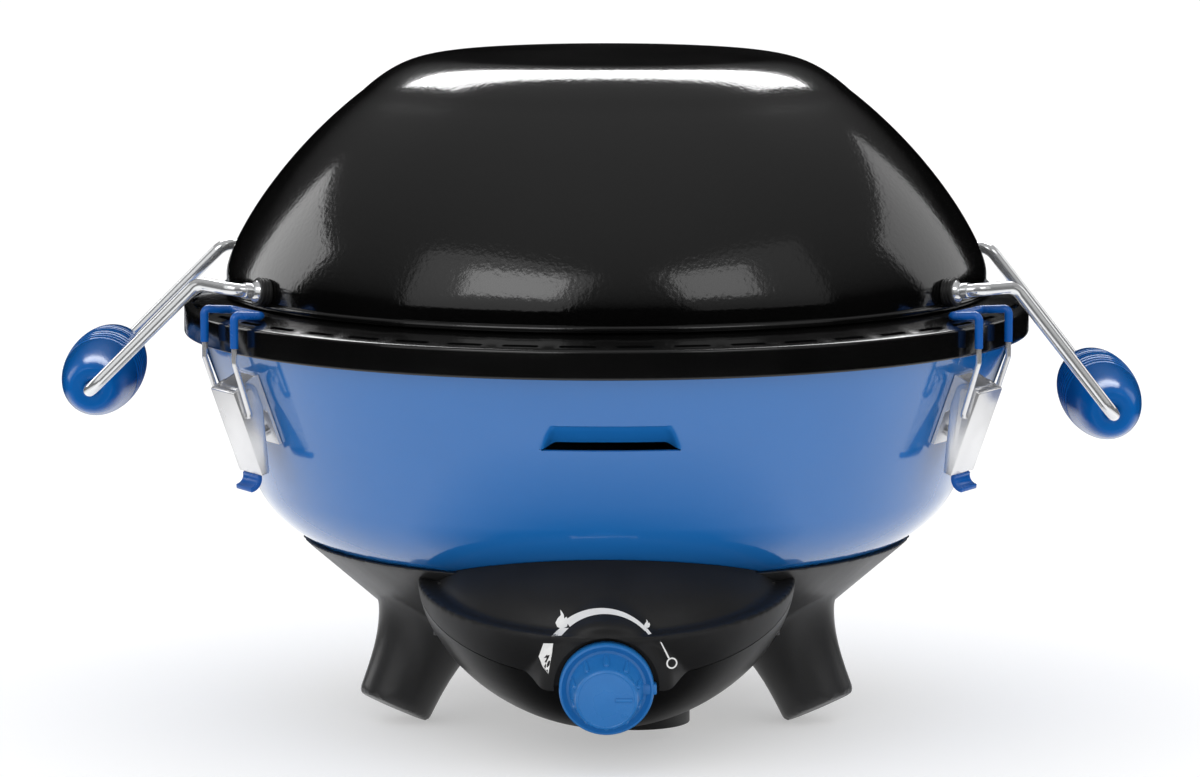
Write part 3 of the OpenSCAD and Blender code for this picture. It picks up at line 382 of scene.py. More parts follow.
# thin dust and fading: a soft mask that lightens a colour in patches
fading, fading_in, fading_out = group("fading", {"Scale": 30.0, "Most": 0.3}, ["Mask"])
veil = noise(fading, fading_in.outputs["Place"], fading_in.outputs["Scale"], 6.0)
veil_mask = spread(fading, veil.outputs["Fac"], 0.0, fading_in.outputs["Most"], 0.42, 0.75)
fading.links.new(veil_mask, fading_out.inputs["Mask"])


def placed(tree, kind, place, **values):
    """A node group in a material, with its values."""
    node = tree.nodes.new("ShaderNodeGroup")
    node.node_tree = kind
    tree.links.new(place, node.inputs["Place"])
    for label, value in values.items():
        node.inputs[label].default_value = value
    return node


fade_ratio = 1.7


def finish(name, color, faded, gloss, marks_scale, bump_scale, bump_depth, metallic=0.0, most=0.35):
    """A material whose colour, roughness and surface vary as the real finish does."""
    made, tree, shader = material(name, color, gloss[0], metallic)
    place = tree.nodes.new("ShaderNodeTexCoord").outputs["Object"]
    handled = placed(tree, marks, place, Scale=marks_scale, Low=gloss[0], High=gloss[1])
    tree.links.new(handled.outputs["Roughness"], shader.inputs["Roughness"])
    worn = placed(tree, fading, place, Scale=marks_scale * fade_ratio, Most=most)
    mix = tree.nodes.new("ShaderNodeMix")
    mix.data_type = "RGBA"
    mix.inputs["A"].default_value = (*color, 1)
    mix.inputs["B"].default_value = (*faded, 1)
    tree.links.new(worn.outputs["Mask"], mix.inputs["Factor"])
    tree.links.new(mix.outputs["Result"], shader.inputs["Base Color"])
    rough = placed(tree, texture, place, Scale=bump_scale)
    bump = tree.nodes.new("ShaderNodeBump")
    bump.inputs["Strength"].default_value = 1.0
    bump.inputs["Distance"].default_value = bump_depth
    tree.links.new(rough.outputs["Height"], bump.inputs["Height"])
    tree.links.new(bump.outputs["Normal"], shader.inputs["Normal"])
    return made, shader


def dressed(piece, paint, body, slot, *replaced):
    """Gives a piece its material, its body and the nodes that it stands for; its slot is not used."""
    piece.data.materials.clear()
    piece.data.materials.append(paint)
    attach(piece, body)
    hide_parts(*replaced)
    return piece


cradle_black, cradle_shader = finish(
    "cradle_black", (0.022, 0.022, 0.0225), (0.034, 0.034, 0.035), gloss=(0.3, 0.42),
    marks_scale=24, bump_scale=1500, bump_depth=0.05 * mm)
cradle_shader.inputs["Specular IOR Level"].default_value = 0.4
dressed(cradle, cradle_black, "base", "cradle_plastic", "base_cradle")


# Bowl
# A tub of pressed steel sheet under glossy blue enamel. A slot is lanced in its front, with the
# sheet above it pressed in as a ramp, and its upper edge is rolled round a bead.
sheet = 1.2 * mm
bowl_steps = 480
bowl_slope = math.radians(20.3)
bowl_top = Vector((204.4, 196.4)) * mm
cone_end = 112 * mm
cone_pull = 20 * mm
bowl_floor = 74 * mm
bowl_floor_r = 105 * mm
floor_pull = 33 * mm
neck_r = 14 * mm
slot_x = 2 * mm
slot_half = 32.6 * mm
slot_low = 151 * mm
slot_lip = 154.6 * mm
slot_high = 163.5 * mm
slot_depth = 6 * mm
slot_taper = 7 * mm
slot_margin = 9 * mm
slot_inset = 0.4 * mm
first_row, row_count = 170, 25
slot_rows = [(first_row - i) * mm for i in range(row_count)]


def cone_r(z):
    """Outside radius of the bowl's straight side at a height."""
    return bowl_top.x - (bowl_top.y - z) * math.tan(bowl_slope)


def ease(value, low, high):
    """A smooth step from 0 at low to 1 at high."""
    t = min(1, max(0, (value - low) / (high - low)))
    return t * t * (3 - 2 * t)


side_rows = [bowl_top.y, 190 * mm, 180 * mm, *slot_rows, 136 * mm, 124 * mm]
cone_low = Vector((cone_r(cone_end), cone_end))
curve_low = swept((
    cone_low, cone_low - Vector((math.sin(bowl_slope), math.cos(bowl_slope))) * cone_pull,
    (bowl_floor_r + floor_pull, bowl_floor), (bowl_floor_r, bowl_floor)), count=20)
bowl = turned("bowl_tub", [
    *[(cone_r(z), z) for z in side_rows], *[tuple(p) for p in curve_low],
    (60 * mm, bowl_floor), (neck_r, bowl_floor)], steps=bowl_steps)


def chosen(piece, test):
    """Selects a piece's faces whose middles pass a test, and leaves it in edit mode."""
    only(piece)
    bpy.ops.object.mode_set(mode="EDIT")
    bpy.ops.mesh.select_mode(type="FACE")
    bpy.ops.mesh.select_all(action="DESELECT")
    bpy.ops.object.mode_set(mode="OBJECT")
    for face in piece.data.polygons:
        face.select = test(face.center)
    bpy.ops.object.mode_set(mode="EDIT")


def near_slot(place):
    """True on the front of the bowl round the slot."""
    return (place.y < 0 and abs(place.x - slot_x) < slot_half + slot_margin
            and slot_rows[-1] < place.z < slot_rows[0])


chosen(bowl, near_slot)
bpy.ops.mesh.subdivide(number_cuts=2)
bpy.ops.object.mode_set(mode="OBJECT")
for corner in bowl.data.vertices:
    if near_slot(corner.co):
        flat = math.hypot(corner.co.x, corner.co.y)
        corner.co.x *= cone_r(corner.co.z) / flat
        corner.co.y *= cone_r(corner.co.z) / flat


def in_slot(place):
    """True in the stretch of sheet that the lance opens."""
    return (place.y < 0 and abs(place.x - slot_x) < slot_half - slot_inset
            and slot_low < place.z < slot_lip)


chosen(bowl, in_slot)
bpy.ops.mesh.delete(type="FACE")
bpy.ops.object.mode_set(mode="OBJECT")

# the ramp: the sheet above the slot goes in further row by row, narrows upwards, and comes down
# to the slot's lower edge at both ends of the lip
ramp_narrowing = 4.5 * mm
ramp_fade = 4 * mm
ramp_start, ramp_end = -0.25, 1.05
ramp_least = 0.02
lip_above = 0.8 * mm
lip_drop = 0.85 * (slot_lip - slot_low)
for corner in bowl.data.vertices:
    place = corner.co
    beside = abs(place.x - slot_x)
    if place.y < 0 and slot_low + lip_above < place.z < slot_high and beside < slot_half:
        down = min(1, (slot_high - place.z) / (slot_high - slot_lip))
        narrow = slot_half - ramp_narrowing * (1 - down)
        sides = 1 - ease(beside, narrow - ramp_fade, narrow)
        push = slot_depth * ease(down, ramp_start, ramp_end) * sides if down > ramp_least else 0
        drop = lip_drop * down ** 2 * ease(beside, slot_half - slot_taper, slot_half)
        push += drop * math.tan(bowl_slope)
        place.z -= drop
        flat = math.hypot(place.x, place.y)
        place.x *= (flat - push) / flat
        place.y *= (flat - push) / flat
change(bowl, "SOLIDIFY", thickness=sheet, offset=-1, use_even_offset=False)


def round_section(middle, radius, count=16):
    """A circle of (radius, height) points, back to its first one."""
    turns = [math.tau * i / count for i in range(count + 1)]
    return [(middle.x + radius * math.cos(a), middle.y + radius * math.sin(a)) for a in turns]


bead = Vector((203.5, 197.38)) * mm
bead_r = 2.2 * mm
bead_ring = turned("bead_ring", round_section(bead, bead_r), steps=180)
bowl = joined("bowl_tub", [bowl, bead_ring])
smooth(bowl, angle=40)
bowl_blue, bowl_shader = finish(
    "bowl_blue", (0.01, 0.13, 0.41), (0.013, 0.145, 0.45), gloss=(0.09, 0.16),
    marks_scale=14, bump_scale=330, bump_depth=0.035 * mm)
bowl_shader.inputs["Coat Weight"].default_value = 0.75
bowl_shader.inputs["Coat Roughness"].default_value = 0.04
dressed(bowl, bowl_blue, "base", "bowl_enamel", "bowl")


# Rim ring
# A black enamelled ring dropped over the bowl's bead: an upright band, and a ledge that slopes
# up to the lid's seat with a row of vent slots punched in it.
def rounded(corners, radius, count=4):
    """The same closed outline with each corner eased into a curve, back to its first point."""
    made = []
    for i, corner in enumerate(corners):
        here = Vector(corner)
        back = Vector(corners[i - 1]) - here
        on = Vector(corners[(i + 1) % len(corners)]) - here
        start = here + back.normalized() * min(radius, back.length * 0.45)
        end = here + on.normalized() * min(radius, on.length * 0.45)
        for k in range(count + 1):
            t = k / count
            made.append(start * (1 - t) ** 2 + here * 2 * t * (1 - t) + end * t * t)
    return [tuple(p) for p in (*made, made[0])]


def eased(piece, width, segments):
    """Rounds all edges of a piece."""
    only(piece)
    bpy.ops.object.mode_set(mode="EDIT")
    bpy.ops.mesh.select_all(action="SELECT")
    bpy.ops.mesh.bevel(offset=width, segments=segments, affect="EDGES")
    bpy.ops.object.mode_set(mode="OBJECT")
    return piece


rim_r = 208 * mm
rim_low = 186.5 * mm
ledge_z = 200 * mm
seat_r = 187.2 * mm
seat_z = 205.5 * mm
stop_r = 185.2 * mm
stop_in = 2.6 * mm
stop_top = 208.3 * mm
grid_seat_r = 168 * mm
grid_seat_z = 196.1 * mm
rim_round = 1.3 * mm
lid_r = 187 * mm
vent_count = 48
vent_size = Vector((2.6, 17)) * mm
vent_out = 5 * mm
vent_below, vent_above = 4 * mm, 2 * mm
vent_round = 1.1 * mm
ring = turned("slotted_ring", rounded([
    (rim_r, rim_low), (rim_r, ledge_z), (seat_r, seat_z), (stop_r, seat_z), (stop_r, stop_top),
    (stop_r - stop_in, stop_top), (stop_r - stop_in, grid_seat_z), (grid_seat_r, grid_seat_z),
    (grid_seat_r, grid_seat_z - sheet), (stop_r - sheet, grid_seat_z - sheet),
    (stop_r - sheet, seat_z - sheet), (seat_r, seat_z - sheet),
    (rim_r - sheet, ledge_z - sheet), (rim_r - sheet, rim_low)], rim_round), steps=192)
vent_r = (rim_r + lid_r) / 2 + vent_out
vents = block("vents", (vent_r - vent_size.x / 2, -vent_size.y / 2, ledge_z - vent_below),
              (vent_r + vent_size.x / 2, vent_size.y / 2, seat_z + vent_above))
eased(vents, vent_round, 3)
half_pitch = math.pi / vent_count
bpy.ops.object.mode_set(mode="EDIT")
bpy.ops.mesh.select_all(action="SELECT")
bpy.ops.transform.rotate(value=-half_pitch, orient_axis="Z", center_override=(0, 0, 0))
bpy.ops.mesh.spin(steps=vent_count - 1, dupli=True, angle=math.tau - 2 * half_pitch,
                  center=(0, 0, 0), axis=(0, 0, 1))
bpy.ops.mesh.select_all(action="SELECT")
bpy.ops.mesh.normals_make_consistent(inside=False)
bpy.ops.object.mode_set(mode="OBJECT")
cut(ring, vents)
smooth(ring, angle=30)
rim_black, rim_shader = finish(
    "rim_black", (0.002, 0.002, 0.002), (0.005, 0.005, 0.005), gloss=(0.12, 0.2),
    marks_scale=18, bump_scale=420, bump_depth=0.05 * mm)
rim_shader.inputs["Coat Weight"].default_value = 0.3
dressed(ring, rim_black, "base", "rim_enamel", "rim_ring")


# Lid
# A spun steel cover under glossy black enamel, with a flat crowned top, a soft shoulder, a long
# sloping side and an upright lower band that ends in a rolled edge. It lifts straight off.
lid_low = 205.7 * mm
lid_top = 323.2 * mm
lid_flat = 84 * mm
crown = 2.1 * mm
shoulder = Vector((36, 19.75)) * mm
side_pull = Vector((24.5, 52.5)) * mm
band_pull = 21.75 * mm
lid_band = 9 * mm
sheet_end = 2 * mm
edge_r = 1.8 * mm
lid_steps = 256
lid_outline = [
    *swept(((0, lid_top), (0.4 * lid_flat, lid_top), (0.7 * lid_flat, lid_top - crown / 3),
            (lid_flat, lid_top - crown)), count=14)[:-1],
    *swept(((lid_flat, lid_top - crown),
            (lid_flat + shoulder.x * 0.36, lid_top - crown - shoulder.y * 0.08),
            (lid_flat + shoulder.x * 0.64, lid_top - crown - shoulder.y * 0.3),
            (lid_flat + shoulder.x, lid_top - shoulder.y)), count=14)[:-1],
    *swept(((lid_flat + shoulder.x, lid_top - shoulder.y), (lid_r - side_pull.x, lid_top - side_pull.y),
            (lid_r, lid_low + band_pull), (lid_r, lid_low + lid_band)), count=36),
    Vector((lid_r, lid_low + sheet_end))]
lid = turned("lid_cover", [tuple(p) for p in lid_outline], lid_steps)
change(lid, "SOLIDIFY", thickness=sheet, offset=-1, use_even_offset=True)
edge = Vector((lid_r + edge_r / 3, lid_low + edge_r))
rolled = turned("rolled_edge", round_section(edge, edge_r), lid_steps)
lid = joined("lid_cover", [lid, rolled])
smooth(lid, angle=45)
lid_black, lid_shader = finish(
    "lid_black", (0.0014, 0.0014, 0.0014), (0.003, 0.003, 0.003), gloss=(0.1, 0.15),
    marks_scale=12, bump_scale=420, bump_depth=0.09 * mm)
lid_shader.inputs["Coat Weight"].default_value = 0.25
dressed(lid, lid_black, "lid", "lid_enamel", "lid_shell")


# Control pod
# Two black mouldings that hang under the bowl's front: a lower belly, and an upper fascia that
# drops over it along a slanted seam. A round collar for the knob is half in each of them.
pod_y = -112 * mm
pod_r = 90 * mm
pod_low = 8 * mm
pod_top = 82 * mm
pod_steps = 160
belly_pull = 37 * mm
crease_z = 81 * mm
crease_tilt = math.radians(10)
dome_r = 88 * mm
seam_z = 77 * mm
seam_tilt = math.radians(24.4)
seam_gap = 0.28 * mm
pod_back = -66 * mm
fascia_back = -70 * mm
knob_place = Vector((0, -193, 41.6)) * mm
knob_tilt = math.radians(7)
knob_frame = Matrix.Translation(knob_place) @ Matrix.Rotation(math.pi / 2 + knob_tilt, 4, "X")
collar_r = 30 * mm
recess_r = 24.5 * mm
recess_z = -3 * mm
recess_reach = 30 * mm
hub_r = 20 * mm
hub_low = -25.45 * mm
inlet = Vector((14, -95, 0)) * mm
inlet_r = 26 * mm
inlet_clear = 0.15 * mm
inlet_top = 24 * mm

belly_curve = swept(((0, pod_low), (pod_r / 2, pod_low), (pod_r, pod_low + belly_pull), (pod_r, pod_top)),
                    count=28)
belly_solid = turned("belly_solid", [*[tuple(p) for p in belly_curve], (0, pod_top)], pod_steps)
belly_solid.data.transform(Matrix.Translation((0, pod_y, 0)))
crease_normal = Vector((0, -math.sin(crease_tilt), math.cos(crease_tilt)))
sliced(belly_solid, (0, pod_y, crease_z), crease_normal)
dome_curve = swept(((dome_r - 5 * mm, -8 * mm), (dome_r - 5.5 * mm, 5 * mm), (dome_r - 22 * mm, 18 * mm),
                    (dome_r - 48 * mm, 27 * mm)), count=16)
dome = turned("dome", [
    (0, -20 * mm), (dome_r - 5 * mm, -20 * mm), *[tuple(p) for p in dome_curve], (0, 34 * mm)], pod_steps)
dome.data.transform(Matrix.Translation((0, pod_y, crease_z)) @ Matrix.Rotation(crease_tilt, 4, "X"))
hood = turned("hood", [
    (0, -30 * mm), (collar_r + 16 * mm, -30 * mm), (collar_r + 9 * mm, -17 * mm),
    (collar_r + 4 * mm, -8 * mm), (collar_r + 1 * mm, -2 * mm), (collar_r - 1 * mm, 0.4 * mm),
    (collar_r - 3 * mm, 1 * mm), (0, 1 * mm)], steps=96)
hood.data.transform(knob_frame)
hub = rod("hub", hub_r, hub_low, recess_z)
hub.data.transform(knob_frame)


def copied(piece, name):
    """A second piece with its own mesh."""
    made = piece.copy()
    made.data = piece.data.copy()
    made.name = name
    bpy.context.scene.collection.objects.link(made)
    return made


fascia = joined("fascia_cover", [copied(belly_solid, "belly_copy"), dome, hood])
belly = joined("belly_cover", [belly_solid, hub])

# what stands behind the pod: the bowl and the cradle's dish, a little enlarged
pod_clear = 0.5 * mm
backing = turned("backing", [
    (0, 38 * mm - pod_clear), (95.7 * mm, 38 * mm - pod_clear), (104 * mm, 43.6 * mm),
    (121.4 * mm, 58.6 * mm), (152.2 * mm, 85.2 * mm), (150.5 * mm + pod_clear, 86.6 * mm),
    *[(p.x + pod_clear * 0.8, p.y - pod_clear * 0.6) for p in reversed(curve_low[:11])],
    (bowl_top.x, bowl_top.y), (0, bowl_top.y)], steps=180)
recess = rod("recess", recess_r, recess_z, recess_reach)
recess.data.transform(knob_frame)
screw_hole_r = 4.3 * mm
screw_sink = 7 * mm
screw_places = ((55, -95), (78, -126))
screw_holes = []
for x, y in screw_places:
    from_axis = math.hypot(x * mm, y * mm - pod_y)
    skin = min(belly_curve, key=lambda p: abs(p.x - from_axis)).y
    for side in (-1, 1):
        screw_holes.append(rod("screw_hole", screw_hole_r, 0, skin + screw_sink, side * x * mm, y * mm))
inlet_hole = rod("inlet_hole", inlet_r + inlet_clear, 0, inlet_top, inlet.x, inlet.y)
for cover in (fascia, belly):
    change(cover, "REMESH", mode="VOXEL", voxel_size=1.0 * mm)
    change(cover, "SMOOTH", iterations=12, factor=0.5)
    for cutter in (backing, recess, inlet_hole, *screw_holes):
        cut(cover, copied(cutter, "cutter"))
for cutter in (backing, recess, inlet_hole, *screw_holes):
    bpy.data.objects.remove(cutter)
seam_normal = Vector((0, -math.sin(seam_tilt), math.cos(seam_tilt)))
seam_point = Vector((0, pod_y, seam_z))
sliced(fascia, seam_point + seam_normal * seam_gap, -seam_normal)
sliced(fascia, (0, fascia_back, 0), (0, 1, 0))
sliced(belly, seam_point - seam_normal * seam_gap, seam_normal)
sliced(belly, (0, pod_back, 0), (0, 1, 0))
smooth(fascia, angle=40)
smooth(belly, angle=40)
fascia_black, fascia_shader = finish(
    "fascia_black", (0.011, 0.011, 0.0115), (0.018, 0.018, 0.019), gloss=(0.38, 0.5),
    marks_scale=26, bump_scale=2200, bump_depth=0.06 * mm)
fascia_shader.inputs["Specular IOR Level"].default_value = 0.25
# painted shade: the belly is moulded in the cradle's plastic, but is given a darker black than the cradle
belly_black_painted_shade, belly_shader = finish(
    "belly_black_painted_shade", (0.006, 0.006, 0.0063), (0.011, 0.011, 0.0115), gloss=(0.28, 0.4),
    marks_scale=26, bump_scale=1500, bump_depth=0.04 * mm)
belly_shader.inputs["Specular IOR Level"].default_value = 0.35
dressed(fascia, fascia_black, "base", "fascia_plastic", "control_fascia")
dressed(belly, belly_black_painted_shade, "base", "cradle_plastic", "control_belly")


# Symbols
# Plain white signs printed on the fascia round the knob: a band that thins from high flame to
# low flame, a flame on a foot at each end of it, a spark tile, and a ring with a stroke for off.
print_lift = 0.06 * mm
seen_frame = Matrix.Translation(knob_place) @ Matrix.Rotation(math.pi / 2 - camera_rise, 4, "X")


def printed(name, outline):
    """A flat sign with this outline, as seen round the knob's middle, laid on the fascia."""
    bpy.ops.object.select_all(action="DESELECT")
    bpy.ops.mesh.primitive_circle_add(vertices=len(outline), radius=mm, fill_type="NGON")
    sign = bpy.context.object
    sign.name = name
    for corner, (x, y) in zip(sign.data.vertices, outline):
        corner.co = (x * mm, y * mm, collar_r)
    bpy.ops.object.mode_set(mode="EDIT")
    bpy.ops.mesh.select_all(action="SELECT")
    bpy.ops.mesh.quads_convert_to_tris(ngon_method="CLIP")
    bpy.ops.mesh.subdivide(number_cuts=3)
    bpy.ops.object.mode_set(mode="OBJECT")
    sign.matrix_world = seen_frame
    bpy.context.view_layer.update()
    change(sign, "SHRINKWRAP", target=fascia, wrap_method="PROJECT", use_project_z=True,
           use_negative_direction=True, use_positive_direction=False, wrap_mode="ABOVE_SURFACE",
           offset=print_lift)
    sign.data.transform(seen_frame)
    sign.matrix_world = Matrix.Identity(4)
    return sign


def arc(radius, start, end, count, x=0.0, y=0.0):
    """Points on an arc, in degrees from the right and upwards."""
    steps = [math.radians(start + (end - start) * i / count) for i in range(count + 1)]
    return [(x + radius * math.cos(a), y + radius * math.sin(a)) for a in steps]


def flame(x, y, size):
    """A plain drop-shaped flame with a hollow side and a curled tip."""
    shape = ((0, -1), (0.62, -0.72), (0.8, -0.1), (0.55, 0.42), (0.3, 0.2), (0.22, 0.7), (-0.18, 1.25),
             (-0.12, 0.6), (-0.5, 0.2), (-0.75, -0.3), (-0.55, -0.78))
    return [(x + size * u, y + size * v) for u, v in shape]


band_r = 28
band_x, band_y = -2.3, 8.7
band_from, band_to = 127, 41
band_count = 24
band_wide, band_narrow = 3.7, 1.4
band_outer = arc(band_r, band_from, band_to, band_count, band_x, band_y)
band_inner = [
    (band_x + (px - band_x) * share, band_y + (py - band_y) * share)
    for i, (px, py) in enumerate(band_outer)
    for share in [1 - (band_wide + (band_narrow - band_wide) * i / band_count) / band_r]]
ring_x, ring_y, ring_r, ring_w = 30.2, 11.2, 2.6, 0.7
high_foot = [(-25.4, 24.0), (-20.8, 24.2), (-17.4, 27.6), (-21.6, 27.4)]
low_foot = [(17.4, 27.0), (18.8, 27.4), (20.8, 25.0), (19.3, 24.6)]
stroke = [(24.7, 21.4), (25.5, 21.0), (29.2, 13.7), (28.5, 13.3)]
tile = [(-29.1, 20.6), (-24.6, 20.6), (-25.0, 16.7), (-26.9, 6.5), (-29.5, 9.7), (-31.4, 14.2)]
bolt = [(-27.2, 17.6), (-29.0, 13.6), (-27.7, 13.9), (-28.1, 10.9), (-26.2, 15.2), (-27.5, 14.9)]
signs = [
    printed("flow_band", band_outer + band_inner[::-1]),
    printed("high_flame", flame(-20.7, 31.0, 3.9)),
    printed("low_flame", flame(18.7, 29.3, 1.8)),
    printed("high_foot", high_foot),
    printed("low_foot", low_foot),
    printed("spark_tile", tile),
    printed("off_stroke", stroke),
    *[printed("off_ring", arc(ring_r, a, a + 90, 8, ring_x, ring_y)
              + arc(ring_r - ring_w, a + 90, a, 8, ring_x, ring_y)) for a in (0, 90, 180, 270)]]
signs = joined("fascia_signs", signs)
sign_white, _ = finish(
    "sign_white", (0.78, 0.78, 0.77), (0.62, 0.62, 0.62), gloss=(0.45, 0.6),
    marks_scale=60, bump_scale=2600, bump_depth=0.02 * mm)
signs.data.materials.clear()
signs.data.materials.append(sign_white)
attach(signs, "base")
spark_bolt = printed("spark_bolt", bolt)
spark_bolt.data.transform(Matrix.Translation((0, -print_lift, 0)))
spark_bolt.data.materials.append(fascia_black)
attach(spark_bolt, "base")


# Knob
# A blue moulded knob on the tap's stem: a skirt with a pointed beak, a dished ring, and a
# tapered hub with ribs for the fingers. Its cap has a plain raised pointer.
knob_r = 22 * mm
knob_length = 20 * mm
cap_r = 14.6 * mm
knob_ribs = 10
rib_r = 1.3 * mm
rib_in = 5.9 * mm
hub_in = 5.8 * mm
knob_back = -2.5 * mm
knob_edge = 0.8 * mm
beak_half = 2.6 * mm
beak_out = 1.2 * mm
beak_top = 3.8 * mm
pointer_half = 0.9 * mm
pointer_start = 4 * mm
pointer_end = cap_r - 2.6 * mm
stem_hole_r = 3.05 * mm
stem_hole_z = 13.8 * mm
knob = turned("control_cap", [
    (0, knob_back), (knob_r - knob_edge, knob_back), (knob_r, knob_back + knob_edge), (knob_r, 3.2 * mm),
    (knob_r - 0.4 * mm, 3.9 * mm), (knob_r - 1.2 * mm, 4.2 * mm), (knob_r - 2.2 * mm, 3.5 * mm),
    (knob_r - 3.4 * mm, 2.9 * mm), (knob_r - 4.6 * mm, 3.1 * mm), (knob_r - 5.4 * mm, 4.2 * mm),
    (knob_r - hub_in, 6 * mm), (cap_r, knob_length - 2.2 * mm), (cap_r - 0.25 * mm, knob_length - 1.2 * mm),
    (cap_r - 0.8 * mm, knob_length - 0.5 * mm), (cap_r - 1.5 * mm, knob_length - 0.2 * mm),
    (cap_r - 1.8 * mm, knob_length - 0.4 * mm), (cap_r - 2.4 * mm, knob_length - 0.4 * mm),
    (0, knob_length - 0.1 * mm)], steps=144)
lean = math.atan((knob_r - hub_in - cap_r) / knob_length)
for i in range(knob_ribs):
    rib = turned("rib", [
        (0, 1 * mm), (rib_r, 1 * mm), (rib_r, knob_length - 6 * mm), (rib_r * 0.7, knob_length - 4.9 * mm),
        (0, knob_length - 4.4 * mm)], steps=24)
    rib.data.transform(
        Matrix.Rotation(math.tau * (i + 0.5) / knob_ribs, 4, "Z")
        @ Matrix.Translation((knob_r - rib_in, 0, 0)) @ Matrix.Rotation(-lean, 4, "Y"))
    cut(knob, rib, "UNION")
beak = block("beak", (cap_r, -beak_half, knob_back + knob_edge), (knob_r + beak_out, beak_half, beak_top))
cut(knob, eased(beak, 0.9 * mm, 3), "UNION")
pointer = block("pointer", (pointer_start, -pointer_half, knob_length - 1.5 * mm),
                (pointer_end, pointer_half, knob_length + 0.3 * mm))
cut(knob, eased(pointer, 0.35 * mm, 2), "UNION")
cut(knob, rod("stem_hole", stem_hole_r, knob_back - 2 * mm, stem_hole_z))
knob.data.transform(knob_frame)
smooth(knob, angle=32)
knob_blue, _ = finish(
    "knob_blue", (0.014, 0.15, 0.44), (0.02, 0.18, 0.5), gloss=(0.24, 0.36),
    marks_scale=60, bump_scale=2400, bump_depth=0.03 * mm)
dressed(knob, knob_blue, "knob", "blue_plastic", "control_knob")


# Gas train
# A brass tap with its stem behind the knob, fed from a plastic inlet cup through a nipple and a
# copper pipe. Its injector blows into the mouth of the mixing tube, which carries the burner.
def painted(paint, *names):
    """Gives CAD nodes a finish."""
    for name in names:
        nodes[name].data.materials.clear()
        nodes[name].data.materials.append(paint)


brass, _ = finish(
    "brass", (0.62, 0.42, 0.13), (0.4, 0.27, 0.1), gloss=(0.2, 0.38),
    marks_scale=70, bump_scale=1800, bump_depth=0.02 * mm, metallic=1.0)
copper, _ = finish(
    "copper", (0.66, 0.32, 0.17), (0.36, 0.18, 0.1), gloss=(0.22, 0.4),
    marks_scale=60, bump_scale=1500, bump_depth=0.02 * mm, metallic=1.0)
cup_black, _ = finish(
    "cup_black", (0.013, 0.013, 0.0135), (0.022, 0.022, 0.023), gloss=(0.34, 0.46),
    marks_scale=30, bump_scale=1600, bump_depth=0.04 * mm)
painted(brass, "tap_stem", "gas_tap", "inlet_nipple", "gas_injector")
painted(copper, "feed_pipe")
painted(cup_black, "gas_inlet_cup")


# Burner and spark
# A round pressed burner with ports in its side, held on a hub plate by two screws. A spark
# generator beside the tap feeds a ceramic electrode through a sheathed lead.
burner_steel, _ = finish(
    "burner_steel", (0.38, 0.37, 0.36), (0.2, 0.18, 0.16), gloss=(0.28, 0.5),
    marks_scale=40, bump_scale=900, bump_depth=0.03 * mm, metallic=1.0, most=0.6)
ceramic, _ = finish(
    "ceramic", (0.75, 0.74, 0.7), (0.6, 0.58, 0.54), gloss=(0.25, 0.4),
    marks_scale=90, bump_scale=1500, bump_depth=0.02 * mm)
lead_black, _ = finish(
    "lead_black", (0.012, 0.012, 0.012), (0.03, 0.03, 0.03), gloss=(0.45, 0.6),
    marks_scale=60, bump_scale=1800, bump_depth=0.03 * mm)
painted(burner_steel, "mixing_tube", "burner_head", "burner_plate")
painted(ceramic, "spark_electrode")
painted(lead_black, "spark_lead", "spark_generator")


# Drip pan and cooking grid
# A pressed steel pan with a ring-shaped trough hangs in the bowl, and a welded wire grid lies
# on the rim ring's inner seat above it. The grid lifts out.
pan_steel, _ = finish(
    "pan_steel", (0.46, 0.46, 0.45), (0.3, 0.28, 0.26), gloss=(0.26, 0.44),
    marks_scale=22, bump_scale=700, bump_depth=0.04 * mm, metallic=1.0, most=0.5)
grid_steel, _ = finish(
    "grid_steel", (0.5, 0.5, 0.5), (0.3, 0.29, 0.27), gloss=(0.18, 0.34),
    marks_scale=35, bump_scale=1200, bump_depth=0.02 * mm, metallic=1.0, most=0.5)
painted(pan_steel, "drip_pan")
painted(grid_steel, "cooking_grid")


# Latches
# Three over-centre latches: a steel bracket riveted to the bowl, a folded lever on a pin, and a
# wire bail that hooks over the rim. The bail has a blue sleeve and the lever a blue moulded tip.
latch_azimuths = {"left": -60, "right": 60, "rear": 180}
pivot = Vector((202.795, 168)) * mm
lever_half = 12.2 * mm
lever_t = 1.4 * mm
lever_web = 6.4 * mm
lever_length = 40 * mm
lever_top = 3.5 * mm
ear_r = 4.7 * mm
ear_count = 10
pin_hole_r = 1.88 * mm
bail_hole_r = 1.43 * mm
bail_hole = Vector((4.379, -10.109)) * mm
ear_low = 9 * mm
lever_hem = 3 * mm
hollow_up, hollow_in = 40 * mm, 20 * mm
fold_r = 0.65 * mm
fold_angle = math.radians(40)
tip_curl = 4.6 * mm
tip_gap = 0.02 * mm
tip_round = 0.8 * mm
tip_coat = 0.5 * mm
tip_half = 8.2 * mm
tip_turn = 105
tip_count = 14


def plate(name, outline, start, end):
    """A flat plate with an outline of (outward, up) points, from one side to the other."""
    bpy.ops.object.select_all(action="DESELECT")
    bpy.ops.mesh.primitive_circle_add(vertices=len(outline), radius=mm, fill_type="NGON")
    made = bpy.context.object
    made.name = name
    for corner, (x, z) in zip(made.data.vertices, outline):
        corner.co = (x, start, z)
    bpy.ops.object.mode_set(mode="EDIT")
    bpy.ops.mesh.select_all(action="SELECT")
    bpy.ops.mesh.extrude_region_move(TRANSFORM_OT_translate={"value": (0, end - start, 0)})
    bpy.ops.mesh.select_all(action="SELECT")
    bpy.ops.mesh.normals_make_consistent(inside=False)
    bpy.ops.object.mode_set(mode="OBJECT")
    return made


